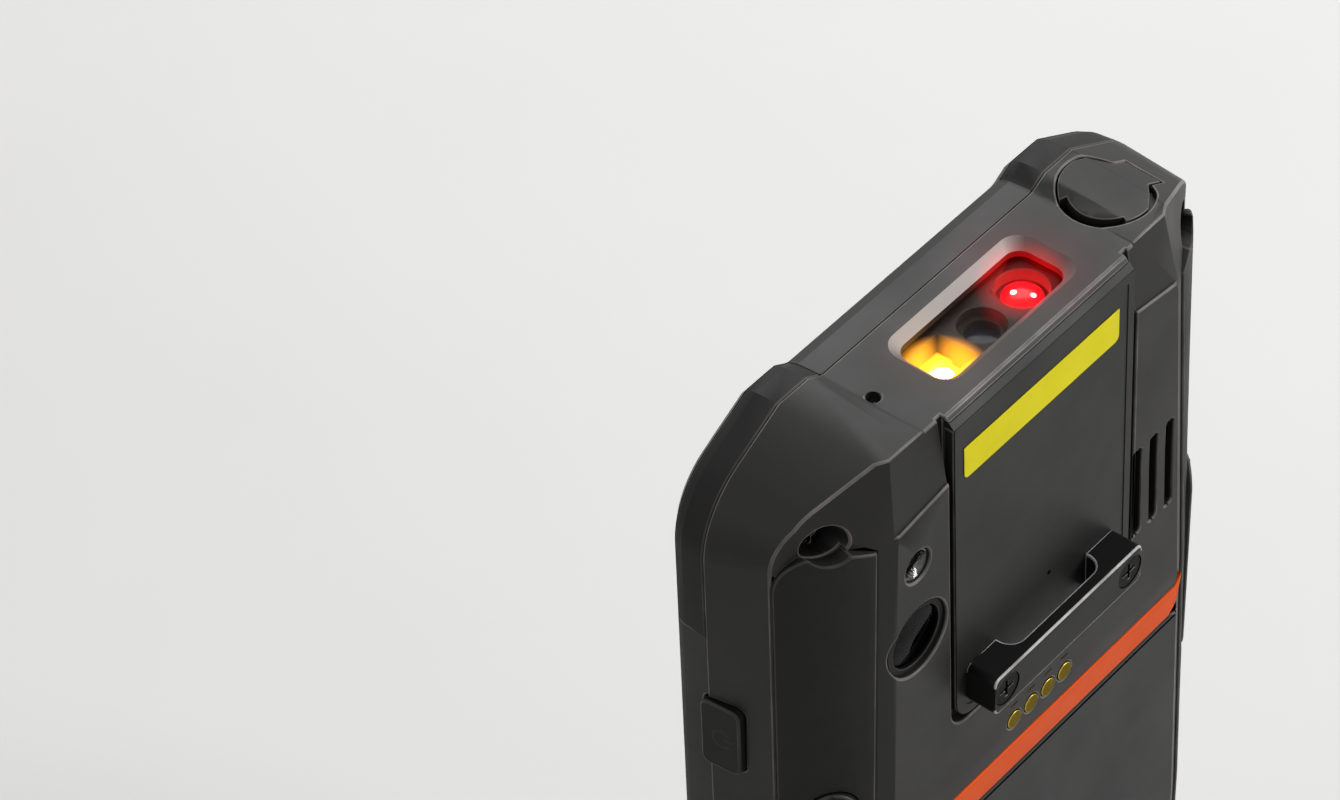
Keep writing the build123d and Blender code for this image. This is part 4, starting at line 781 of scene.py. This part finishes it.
def scan_places():
    """Middles of the aimer's dome and of the lamp, and two painted highlights on the aimer's dome, in mm."""
    dome_height = 1.6
    lamp_out = 1.1
    lamp_rise = 0.9
    low, high = box_mm("aimer_lens")
    aimer = Vector(((low.x + high.x) / 2, (low.y + high.y) / 2, low.z + dome_height))
    _, high = box_mm("scan_lamp")
    lamp = Vector((high.x - LAMP_INSET, high.y + lamp_out, high.z + lamp_rise))
    # two painted highlights: white spots standing in for reflections of the soft boxes on the dome
    painted_glints = (aimer + Vector((0.62, -0.75, -0.10)), aimer + Vector((-0.40, 1.20, -0.25)))
    return aimer, lamp, painted_glints


def case_plastic(colours, grain, shift):
    """Housing plastic, with the aimer's and lamp's light painted on the window's walls and rim as emission.
    """
    # the edge factor lightens rounded edges for rubbing plus a painted highlight
    material = moulded(
        "Case plastic", colours.case, 0.48, grain, 0.010 * MM, wear_and_highlight=13.0, specular=0.24, shift=shift,
        painted_sheen_slope=True,
    )
    aimer, lamp, _ = scan_places()
    # painted light: red and amber emission round the window, standing in for the glow of aimer and lamp
    glows(Surface.around(material), (
        (aimer, 2.8, 6.4, colours.aimer, 0.55),
        (aimer, 3.5, 11.0, colours.aimer, 0.045),
        (lamp, 2.8, 5.2, colours.lamp, 0.50),
        (lamp, 3.5, 9.5, colours.lamp, 0.030),
    ))
    return material


def engine_plastic(colours):
    """Chassis of the scan engine, with the aimer's and lamp's light painted on it as emission."""
    material = moulded(
        "Engine plastic", colours.engine, 0.48, 0.3 * MM, 0.0008 * MM, wear_and_highlight=2.5, specular=0.08,
    )
    aimer, lamp, _ = scan_places()
    # painted light: red and amber emission on the chassis round the aimer and the lamp
    glows(Surface.around(material), (
        (aimer, 2.4, 6.0, colours.aimer, 0.35),
        (aimer - Vector((0, 0, 0.6)), 2.8, 3.7, colours.aimer, 0.45),
        (lamp, 1.4, 5.6, colours.lamp, 4.5),
    ))
    return material


def make_materials(scene):
    """Every finish, by the record's material slot or, for four more, by a name of its own."""
    colours = scene.terminal_colours
    stage = scene.terminal_stage
    shift = float(stage.seed)
    grain = scene.terminal_sizes.grain
    low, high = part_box("display_module")
    aimer, lamp, painted_glints = scan_places()
    # white of the two painted highlights on the aimer's dome
    glint_light = (1.0, 1.0, 1.0)
    lamp_core = (1.0, 0.80, 0.35)

    def plastic(name, colour, roughness, coarseness, depth, wear_and_highlight, specular):
        """Moulded finish whose grain is a share of the common grain, with its depth in mm."""
        return moulded(name, colour, roughness, grain * coarseness, depth * MM, wear_and_highlight, specular, shift)

    # the sixth number of each plastic, like the factor of 60 on the strap bar, lightens rounded edges: partly
    # rubbing, partly a painted highlight
    return {
        "case_plastic": case_plastic(colours, grain, shift),
        "bumper_rubber": plastic("Bumper rubber", colours.bumper, 0.60, 0.8, 0.012, 7.0, 0.18),
        "grip_rubber": plastic("Grip rubber", colours.grip, 0.58, 0.9, 0.012, 5.5, 0.18),
        "panel_plastic": plastic("Panel plastic", colours.panel, 0.46, 1.0, 0.008, 14.0, 0.20),
        "door_plastic": plastic("Door plastic", colours.door, 0.42, 1.0, 0.008, 11.0, 0.20),
        "key_plastic": plastic("Key plastic", colours.key, 0.45, 1.0, 0.004, 9.0, 0.12),
        "yellow_plastic": printed("Strip film", colours.strip, 0.42),
        "orange_plastic": printed("Trim lacquer", colours.stripe, 0.40),
        "dark_anodised": moulded("Anodised bar", colours.anodised, 0.34, grain * 0.6, 0.001 * MM, 60.0, 0.08),
        "ring": moulded("Camera ring", shade(colours.black, 0.5), 0.40, grain, 0.001 * MM, 9.0, 0.07),
        "screw_steel": metal("Screw steel", colours.screw, 0.32, (1.0, 1.0, 1.0), 2.5, 0.5),
        "pin_steel": metal("Pin steel", colours.steel, 0.28, (1.0, 0.1, 1.0)),
        "gold_contact": metal("Contact plating", colours.gold, 0.34, (1.0, 1.0, 0.3), 3.0, 0.4),
        "mark": metal("Mark plating", shade(colours.gold, 0.45), 0.5, (1.0, 1.0, 0.3), 1.0, 0.2),
        "window_glass": clear_pane("Window pane", (0.97, 0.98, 0.98), 0.002, 0.04),
        "display_glass": screen_glass("Display glass", colours.glass, colours.screen, low, high),
        "camera_glass": clear_pane("Camera cover", (0.30, 0.31, 0.34), 0.004, 0.30),
        "lens_glass": polished("Coated lens", colours.lens, 0.04, 0.10),
        "red_lens": lit_lens("Aimer glow", colours.aimer, (
            (aimer, 1.9, 2.75, colours.aimer, stage.aimer_glow),
            (aimer, 0.0, 9.0, colours.aimer, stage.aimer_glow * 0.04),
            # painted highlights on the dome
            *((die, 0.20, 0.42, glint_light, 9.0) for die in painted_glints),
        )),
        "amber_lamp": lit_lens("Lamp glow", colours.lamp, (
            (lamp, 0.9, 2.4, lamp_core, stage.lamp_glow * 2),
            (lamp, 0.0, 7.0, colours.lamp, stage.lamp_glow),
        )),
        "flash_plastic": clear_pane("Flash lens", (0.80, 0.80, 0.78), 0.05, 1.4),
        "black_plastic": plastic("Black plastic", colours.black, 0.50, 1.0, 0.002, 2.0, 0.20),
        "mesh_fabric": metal("Mesh wire", (0.05, 0.05, 0.052), 0.45, (1.0, 1.0, 1.0)),
        "seal_rubber": plastic("Seal rubber", colours.seal, 0.60, 1.0, 0.006, 1.5, 0.30),
        "board_green": solder_mask("Solder mask", colours.board),
        "shield_steel": metal("Tinned sheet", colours.steel, 0.38, (1.0, 0.3, 1.0), 1.2),
        "engine": engine_plastic(colours),
        "flash_die": moulded("Flash die", colours.phosphor, 0.4, grain, 0.004 * MM, 1.5, 0.3),
        "battery_plastic": plastic("Battery case", colours.battery, 0.52, 1.0, 0.008, 1.8, 0.38),
    }


# ---------------------------------------------------------------- operators
class TERMINAL_OT_materials(bpy.types.Operator):
    """Make every finish and give the plain nodes theirs"""
    bl_idname = "terminal.materials"
    bl_label = "Finishes"

    def execute(self, context):
        MATERIALS.clear()
        MATERIALS.update(make_materials(context.scene))
        for node, piece in frame["nodes"].items():
            material = MATERIALS[SLOT_OF[node]]
            if not piece.material_slots:
                raise RuntimeError(node + " has no material slot")
            for slot in piece.material_slots:
                slot.material = material
        for slot in frame["nodes"]["flash_led"].material_slots:
            slot.material = MATERIALS["flash_die"]
        return {"FINISHED"}


class TERMINAL_OT_housings(bpy.types.Operator):
    """Round the edges of both housings, the bumpers, the grips and the panel"""
    bl_idname = "terminal.housings"
    bl_label = "Housings"

    def execute(self, context):
        edge = context.scene.terminal_sizes.housing_edge
        finish_node("front_housing", edge, roomy=True)
        for node in ("raised_panel", "grip_left", "grip_right", "bumper_top_corners", "bumper_foot_corners"):
            finish_node(node, edge)
        beyond = 0.6
        slope_foot = 0.4
        slope_top = 2.5
        margin = 0.8
        seam_side = -4.6
        low, high = box_mm("scan_window")
        low = Vector((low.x - beyond, low.y - beyond, high.z + slope_foot))
        high = Vector((high.x + beyond, high.y + beyond, high.z + slope_top))

        def round_window(place):
            """Whether a place is on the scan window's rim, clear of the seam between the housings."""
            at_rim = all(low[axis] - margin < place[axis] < high[axis] + margin for axis in range(3))
            return at_rim and place.y > seam_side

        rear = finish_node("rear_housing", edge, spare=round_window)
        # paint a sheen on the window's slope
        mark_painted_sheen(rear.data, low, high)
        return {"FINISHED"}


class TERMINAL_OT_doors(bpy.types.Operator):
    """Round the edges of the battery door, its latch and both port covers"""
    bl_idname = "terminal.doors"
    bl_label = "Doors and covers"

    def execute(self, context):
        sizes = context.scene.terminal_sizes
        finish_node("battery_door", sizes.housing_edge)
        for node in ("battery_latch", "port_cover", "side_port_cover"):
            finish_node(node, sizes.small_edge)
        return {"FINISHED"}


class TERMINAL_OT_keys(bpy.types.Operator):
    """Round the edges of every key"""
    bl_idname = "terminal.keys"
    bl_label = "Keys"

    def execute(self, context):
        sizes = context.scene.terminal_sizes
        for node in ("power_key", "volume_up_key", "volume_down_key", "scan_key_left", "scan_key_right"):
            finish_node(node, sizes.key_edge, segments=3)
        for node in ("front_key_left", "front_key_middle", "front_key_right"):
            finish_node(node, sizes.key_edge * 0.6, segments=3)
        return {"FINISHED"}


class TERMINAL_OT_power_symbol(bpy.types.Operator):
    """Put the power symbol, an open ring with a short bar, on the power key"""
    bl_idname = "terminal.power_symbol"
    bl_label = "Power symbol"

    def execute(self, context):
        sizes = context.scene.terminal_sizes
        gap = 38.0
        low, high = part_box("power_key")
        middle = (Vector(low) + Vector(high)) / 2
        start = Vector((high[0] + OUTSIDE, middle[1], middle[2]))
        place, normal = surface_hit("power_key", start, (-1, 0, 0))
        ring = arc_rows(sizes.symbol_radius, sizes.symbol_line, gap, 360.0 - gap, 40)
        half = sizes.symbol_line / 2
        top = sizes.symbol_radius * 1.12
        foot = sizes.symbol_radius * 0.12
        bar = ([(-half, foot), (-half, top)], [(half, foot), (half, top)])
        proud = 0.012 * MM
        matrix = facing(place, normal, (0, 1, 0))
        mesh = flat_solid("power_symbol", [(*ring, False), (*bar, False)], SUNK, proud, matrix)
        add_piece("power_symbol", mesh, "power_key", "black_plastic")
        return {"FINISHED"}


class TERMINAL_OT_panel_border(bpy.types.Operator):
    """Raise a slim border round the panel on the back"""
    bl_idname = "terminal.panel_border"
    bl_label = "Panel border"

    def execute(self, context):
        sizes = context.scene.terminal_sizes
        edge_gap = 0.02 * MM
        outer_round = 3.0 * MM
        inner_round = 2.2 * MM
        from_side = 3 * MM
        from_foot = 6 * MM
        from_top = 3 * MM
        low, high = (Vector(corner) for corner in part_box("raised_panel"))
        middle = (low + high) / 2
        start = Vector((low.x + from_side, high.y + OUTSIDE, 0))
        spots = []
        for level in (low.z + from_foot, high.z - from_top):
            start.z = level
            spots.append(surface_hit("raised_panel", start, (0, -1, 0))[0])
        lean = (spots[1] - spots[0]).normalized()
        place = spots[0] + lean * ((middle.z - spots[0].z) / lean.z)
        place.x = middle.x
        normal = lean.cross(Vector((-1, 0, 0)))
        if normal.y < 0:
            normal = -normal
        half = (high - low) / 2
        outer = self.outline(half.x - edge_gap, half.z - edge_gap, outer_round)
        inner = self.outline(half.x - sizes.border, half.z - sizes.border, inner_round)
        matrix = facing(place, normal, (0, 0, 1))
        mesh = flat_solid("panel_border", [(outer, inner, True)], SUNK, sizes.border_height, matrix)
        smooth_by_angle(mesh)
        add_piece("panel_border", mesh, "raised_panel", "panel_plastic")
        self.top_trim()
        return {"FINISHED"}

    @staticmethod
    def top_trim():
        """Sloped trim that carries the lip's slope on to the panel's upper edge."""
        from_top = 0.4
        end_gap = 0.05
        rise = 0.78
        low, high = box_mm("raised_panel")
        start = (0, high.y * MM + OUTSIDE, (high.z - from_top) * MM)
        face, _ = surface_hit("raised_panel", start, (0, -1, 0))
        y = face.y / MM
        seat = low.y + 0.1
        foot = high.z - 0.02
        profile = [(seat, foot), (y, foot), (y - 0.06, high.z + 0.10),
                   (y - 0.68, high.z + rise), (seat, high.z + rise)]
        mesh = prism("panel_top_trim", profile, low.x + end_gap, high.x - end_gap)
        add_piece("panel_top_trim", mesh, "raised_panel", "panel_plastic")

    @staticmethod
    def outline(half_x, half_z, radius, steps=8):
        """Points round a rectangle whose lower corners are round and upper corners nearly square."""
        tight = 0.3 * MM
        points = []
        for sign_x, sign_z, turn, corner in (
            (1, 1, 0, tight), (-1, 1, 90, tight), (-1, -1, 180, radius), (1, -1, 270, radius),
        ):
            centre = (sign_x * (half_x - corner), sign_z * (half_z - corner))
            for step in range(steps + 1):
                angle = math.radians(turn + 90.0 * step / steps)
                points.append((centre[0] + corner * math.cos(angle), centre[1] + corner * math.sin(angle)))
        return points


class TERMINAL_OT_strap_bar(bpy.types.Operator):
    """Round the strap bar and finish its screws"""
    bl_idname = "terminal.strap_bar"
    bl_label = "Strap bar"

    def execute(self, context):
        sizes = context.scene.terminal_sizes
        low, high = box_mm("strap_bar_screws")
        middle = (low.z + high.z) / 2
        head = (high.z - low.z) / 2
        sink = head + 0.35
        screws = (low.x + head, high.x - head)

        def in_sink(place):
            """Whether a place is in a screw's sink."""
            return any(math.hypot(place.x - x, place.z - middle) < sink for x in screws)

        finish_node("strap_bar", sizes.metal_edge, segments=3, spare=in_sink, joined=False)
        finish_node("strap_bar_screws", sizes.small_edge)
        finish_node("corner_screws", sizes.small_edge)
        return {"FINISHED"}


class TERMINAL_OT_trim(bpy.types.Operator):
    """Finish the stripe, the strip, the contacts and the marks above the pads"""
    bl_idname = "terminal.trim"
    bl_label = "Trim and contacts"

    def execute(self, context):
        sizes = context.scene.terminal_sizes
        pads = 4
        pad_width = 3.0 * MM
        mark_rise = 2.55 * MM
        thickness = 0.03 * MM
        finish_node("orange_stripe", sizes.small_edge)
        finish_node("yellow_strip", thickness)
        for node in ("charging_pads", "dock_contacts"):
            finish_node(node, sizes.small_edge)
        low, high = (Vector(corner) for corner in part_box("charging_pads"))
        middle = (low + high) / 2
        pitch = (high.x - low.x - pad_width) / (pads - 1)
        start = (middle.x, high.y + OUTSIDE, middle.z + mark_rise)
        place, normal = surface_hit("rear_housing", start, (0, -1, 0))
        size = (sizes.mark_length, sizes.mark_height, thickness)
        mesh = bars("pad_marks", pads, 1, pitch, size, "mark", facing(place, normal, (0, 0, 1)))
        add_piece("pad_marks", mesh, "charging_pads", "gold_contact", "mark")
        return {"FINISHED"}


class TERMINAL_OT_camera_lens(bpy.types.Operator):
    """Build the camera's cover, stepped lens rings and front element"""
    bl_idname = "terminal.camera_lens"
    bl_label = "Camera"

    def execute(self, context):
        sizes = context.scene.terminal_sizes
        finish_node("camera_ring", sizes.small_edge, finish="ring")
        low, high = box_mm("camera_window")
        place = back_axis(low, high)
        radius = (high.x - low.x) / 2
        back = low.y
        top = high.y
        under = top - 0.30
        seat = back + 0.02
        profile = [(0, top), (radius - 0.25, top), (radius, top - 0.12), (radius, under), (0, under)]
        cover = lathe("camera_cover", profile, place)
        piece = add_piece("camera_cover", cover, "camera_window", "camera_glass")
        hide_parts("camera_window")
        wall = radius - 0.05
        ledge = radius - 0.2
        steps = [(0, 0.02), (1.5, 0.02), (1.5, 0.10), (1.9, 0.12), (1.9, 0.22), (2.45, 0.24),
                 (2.6, 0.34), (3.1, 0.36), (ledge, 0.50), (wall, 0.50), (wall, 0), (0, 0)]
        rings = lathe("camera_rings", [(reach, back + rise) for reach, rise in steps], place)
        add_piece("camera_rings", rings, "camera_window", "black_plastic")
        element = lathe("camera_element", dome_profile(1.45, seat, 0.32) + [(0, seat)], place)
        add_piece("camera_element", element, "camera_window", "lens_glass")
        return {"FINISHED"}


class TERMINAL_OT_flash(bpy.types.Operator):
    """Build the faceted flash lens"""
    bl_idname = "terminal.flash"
    bl_label = "Flash lens"

    def execute(self, context):
        low, high = box_mm("flash_lens")
        place = back_axis(low, high)
        radius = (high.x - low.x) / 2
        rim = radius - 0.02
        top = high.y
        middle = 0.45
        pitch = 0.36
        fall = 0.06
        profile = [(0, top - 0.18), (middle, top - 0.02)]
        ridge = middle
        while ridge + pitch + fall < radius:
            profile += [(ridge + fall, top - 0.30), (ridge + pitch, top)]
            ridge += pitch
        profile += [(rim, top - 0.05), (rim, low.y), (0, low.y)]
        mesh = lathe("flash_facets", profile, place, 18)
        mesh.shade_flat()
        piece = add_piece("flash_facets", mesh, "flash_lens", "flash_plastic")
        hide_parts("flash_lens")
        return {"FINISHED"}


class TERMINAL_OT_scan_head(bpy.types.Operator):
    """Finish the scan engine's frame, lens, aimer and lamp"""
    bl_idname = "terminal.scan_head"
    bl_label = "Scan head"

    def execute(self, context):
        sizes = context.scene.terminal_sizes
        finish_node("scan_engine_frame", sizes.small_edge, finish="engine")
        finish_node("scan_lens_barrel", sizes.small_edge * 0.6, finish="engine")
        self.aimer()
        self.lamp()
        return {"FINISHED"}

    @staticmethod
    def aimer():
        """Red dome on its flange."""
        low, high = box_mm("aimer_lens")
        place = facing(((low.x + high.x) / 2 * MM, (low.y + high.y) / 2 * MM, 0), (0, 0, 1), (0, 1, 0))
        radius = (high.x - low.x) / 2
        flange = low.z + 0.6
        profile = dome_profile(radius * 0.80, flange + 0.1, 1.0, 12)
        profile += [(radius, flange), (radius, low.z), (0, low.z)]
        dome = add_piece("aimer_dome", lathe("aimer_dome", profile, place), "aimer_lens", "red_lens")
        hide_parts("aimer_lens")

    @staticmethod
    def lamp():
        """Low dome over the lamp's die."""
        radius = 1.25
        _, high = box_mm("scan_lamp")
        place = facing(((high.x - LAMP_INSET) * MM, (high.y + radius) * MM, 0), (0, 0, 1), (0, 1, 0))
        foot = high.z + 0.82
        under = foot - 0.1
        profile = dome_profile(radius, foot, 0.45) + [(radius, under), (0, under)]
        add_piece("lamp_die", lathe("lamp_die", profile, place, 32), "scan_lamp", "amber_lamp")


class TERMINAL_OT_meshes(bpy.types.Operator):
    """Weave the wires over the speaker and the earpiece"""
    bl_idname = "terminal.meshes"
    bl_label = "Speaker and earpiece mesh"

    def execute(self, context):
        sizes = context.scene.terminal_sizes
        for node, outward in (("speaker_mesh", 1), ("earpiece_mesh", -1)):
            name = node + "_wires"
            low, high = (Vector(corner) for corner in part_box(node))
            width = high.x - low.x
            height = high.z - low.z
            middle = (low + high) / 2
            middle.y = high.y if outward > 0 else low.y
            uprights = int(width / sizes.wire_pitch)
            levels = int(height / sizes.wire_pitch)
            parts = []
            for depth, columns, rows, size in (
                (0.6, uprights, 1, (sizes.wire, height, sizes.wire)),
                (1.5, 1, levels, (width, sizes.wire, sizes.wire)),
            ):
                place = middle - Vector((0, outward * depth * sizes.wire, 0))
                matrix = facing(place, (0, outward, 0), (0, 0, 1))
                parts.append(bars(name, columns, rows, sizes.wire_pitch, size, "mesh_fabric", matrix))
            piece = add_piece(name, join_meshes(name, parts), node, "mesh_fabric")
            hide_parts(node)
        return {"FINISHED"}


class TERMINAL_OT_display(bpy.types.Operator):
    """Finish the display glass and the front camera's window"""
    bl_idname = "terminal.display"
    bl_label = "Display side"

    def execute(self, context):
        radius = 1.1
        finish_node("display_glass", context.scene.terminal_sizes.small_edge)
        low, high = box_mm("front_camera")
        face, _ = box_mm("display_glass")
        place = facing(((low.x + high.x) / 2 * MM, 0, (low.z + high.z) / 2 * MM), (0, -1, 0), (0, 0, 1))
        foot = 0.02 - face.y
        under = -0.05 - face.y
        profile = dome_profile(radius, foot, 0.05) + [(radius, under), (0, under)]
        window = lathe("front_camera_window", profile, place, 40)
        add_piece("front_camera_window", window, "display_glass", "lens_glass")
        return {"FINISHED"}


def seen_rays(tree):
    """1 for rays from the camera, from a reflection or through glass."""
    path = tree.nodes.new("ShaderNodeLightPath")
    either = path.outputs["Is Camera Ray"]
    for name in ("Is Glossy Ray", "Is Transmission Ray"):
        widest = tree.nodes.new("ShaderNodeMath")
        widest.operation = "MAXIMUM"
        tree.links.new(either, widest.inputs[0])
        tree.links.new(path.outputs[name], widest.inputs[1])
        either = widest.outputs[0]
    return either


class TERMINAL_OT_stage(bpy.types.Operator):
    """Set the floor, the soft boxes, the background and the camera"""
    bl_idname = "terminal.stage"
    bl_label = "Stage"

    def execute(self, context):
        scene = context.scene
        stage = scene.terminal_stage
        scene.view_settings.view_transform = "Standard"
        self.floor(stage)
        self.soft_box("Key soft box", stage.key_power, place=(-0.62, 0.72, 0.66), side=0.6)
        self.soft_box("Top soft box", stage.top_power, place=(-0.55, -0.50, 0.88), side=0.7)
        self.soft_box("Fill soft box", stage.fill_power, place=(0.90, -0.25, 0.60), side=0.9)
        self.background(scene, stage)
        self.camera(scene)
        return {"FINISHED"}

    @staticmethod
    def floor(stage):
        """A large pale floor, lit near the terminal and plain further out."""
        lit_to = 250.0
        plain_from = 900.0
        bounce = 0.35
        half = stage.floor_size / 2
        corners = [(-half, -half, 0), (half, -half, 0), (half, half, 0), (-half, half, 0)]
        mesh = bpy.data.meshes.new("floor")
        mesh.from_pydata(corners, [], [(0, 1, 2, 3)])
        floor = bpy.data.objects.new("floor", mesh)
        bpy.context.scene.collection.objects.link(floor)
        surface = Surface("Pale floor")
        colour = tuple(stage.floor_colour)
        clouds = surface.spread(surface.noise(6.0, 4.0), 0.0, 1.0)
        tones = surface.mix(clouds, shade(colour, 0.98), shade(colour, 1.02))
        tree = surface.tree
        dim = surface.mix(seen_rays(tree), shade(colour, bounce), tones)
        surface.link(dim, surface.base.inputs["Base Color"])
        surface.set(Roughness=0.85, Specular_IOR_Level=0.05)
        plain = tree.nodes.new("ShaderNodeEmission")
        plain.inputs["Color"].default_value = (*colour, 1.0)
        far = surface.maths("SUBTRACT", 1.0, near(surface, (0, 0, 0), lit_to, plain_from))
        both = tree.nodes.new("ShaderNodeMixShader")
        surface.link(surface.times(far, seen_rays(tree)), both.inputs["Fac"])
        surface.link(surface.base.outputs[0], both.inputs[1])
        surface.link(plain.outputs[0], both.inputs[2])
        surface.link(both.outputs[0], surface.out.inputs["Surface"])
        mesh.materials.append(surface.material)

    @staticmethod
    def soft_box(name, power, place, side):
        """A square area light that faces the terminal's upper part."""
        target = Vector((0.0, 0.0, 0.11))
        light = bpy.data.lights.new(name, "AREA")
        light.energy = power
        light.size = side
        holder = bpy.data.objects.new(name, light)
        holder.location = place
        holder.rotation_euler = (target - Vector(place)).to_track_quat("-Z", "Y").to_euler()
        bpy.context.scene.collection.objects.link(holder)

    @staticmethod
    def background(scene, stage):
        """Even room light, seen as a pale background."""
        world = bpy.data.worlds.new("Studio")
        scene.world = world
        world.use_nodes = True
        tree = world.node_tree
        tree.nodes.clear()
        out = tree.nodes.new("ShaderNodeOutputWorld")
        room = tree.nodes.new("ShaderNodeBackground")
        room.inputs["Color"].default_value = (1.0, 0.985, 0.96, 1.0)
        room.inputs["Strength"].default_value = stage.ambient
        seen = tree.nodes.new("ShaderNodeBackground")
        seen.inputs["Color"].default_value = (0.86, 0.86, 0.86, 1.0)
        both = tree.nodes.new("ShaderNodeMixShader")
        tree.links.new(seen_rays(tree), both.inputs["Fac"])
        tree.links.new(room.outputs[0], both.inputs[1])
        tree.links.new(seen.outputs[0], both.inputs[2])
        tree.links.new(both.outputs[0], out.inputs["Surface"])

    @staticmethod
    def camera(scene):
        """Long lens behind and above the terminal, on the power key's side."""
        lens = bpy.data.cameras.new("Camera")
        lens.lens = 129.92
        lens.sensor_width = 36.0
        lens.clip_start = 0.01
        holder = bpy.data.objects.new("Camera", lens)
        place = Vector((0.3106, 0.2354, 0.5262))
        right = Vector((-0.64473, 0.76370, -0.03303))
        up = Vector((-0.54946, -0.43296, 0.71460))
        back = Vector((0.53143, 0.47887, 0.69876))
        matrix = Matrix((right, up, back)).transposed().to_4x4()
        matrix.translation = place
        holder.matrix_world = matrix
        scene.collection.objects.link(holder)
        scene.camera = holder


class TERMINAL_PT_sidebar(bpy.types.Panel):
    """Sidebar panel with every step and setting"""
    bl_idname = "TERMINAL_PT_sidebar"
    bl_label = "Data terminal"
    bl_space_type = "VIEW_3D"
    bl_region_type = "UI"
    bl_category = "Terminal"

    def draw(self, context):
        layout = self.layout
        for step in STEPS:
            layout.operator(step.bl_idname)
        scene = context.scene
        for group in (scene.terminal_colours, scene.terminal_sizes, scene.terminal_stage):
            box = layout.box()
            for name in group.__annotations__:
                box.prop(group, name)


GROUPS = (TerminalColours, TerminalSizes, TerminalStage)
STEPS = (
    TERMINAL_OT_materials, TERMINAL_OT_housings, TERMINAL_OT_doors, TERMINAL_OT_keys,
    TERMINAL_OT_power_symbol, TERMINAL_OT_panel_border, TERMINAL_OT_strap_bar, TERMINAL_OT_trim,
    TERMINAL_OT_camera_lens, TERMINAL_OT_flash, TERMINAL_OT_scan_head, TERMINAL_OT_meshes,
    TERMINAL_OT_display, TERMINAL_OT_stage,
)


def register():
    """Add the settings, the steps and the panel."""
    for cls in GROUPS + STEPS + (TERMINAL_PT_sidebar,):
        bpy.utils.register_class(cls)
    bpy.types.Scene.terminal_colours = PointerProperty(type=TerminalColours)
    bpy.types.Scene.terminal_sizes = PointerProperty(type=TerminalSizes)
    bpy.types.Scene.terminal_stage = PointerProperty(type=TerminalStage)


def unregister():
    """Take them away again."""
    del bpy.types.Scene.terminal_stage
    del bpy.types.Scene.terminal_sizes
    del bpy.types.Scene.terminal_colours
    for cls in reversed(GROUPS + STEPS + (TERMINAL_PT_sidebar,)):
        bpy.utils.unregister_class(cls)


def main():
    """Run every step in order."""
    register()
    bpy.ops.terminal.materials()
    bpy.ops.terminal.housings()
    bpy.ops.terminal.doors()
    bpy.ops.terminal.keys()
    bpy.ops.terminal.power_symbol()
    bpy.ops.terminal.panel_border()
    bpy.ops.terminal.strap_bar()
    bpy.ops.terminal.trim()
    bpy.ops.terminal.camera_lens()
    bpy.ops.terminal.flash()
    bpy.ops.terminal.scan_head()
    bpy.ops.terminal.meshes()
    bpy.ops.terminal.display()
    bpy.ops.terminal.stage()


if __name__ == "__main__":
    main()
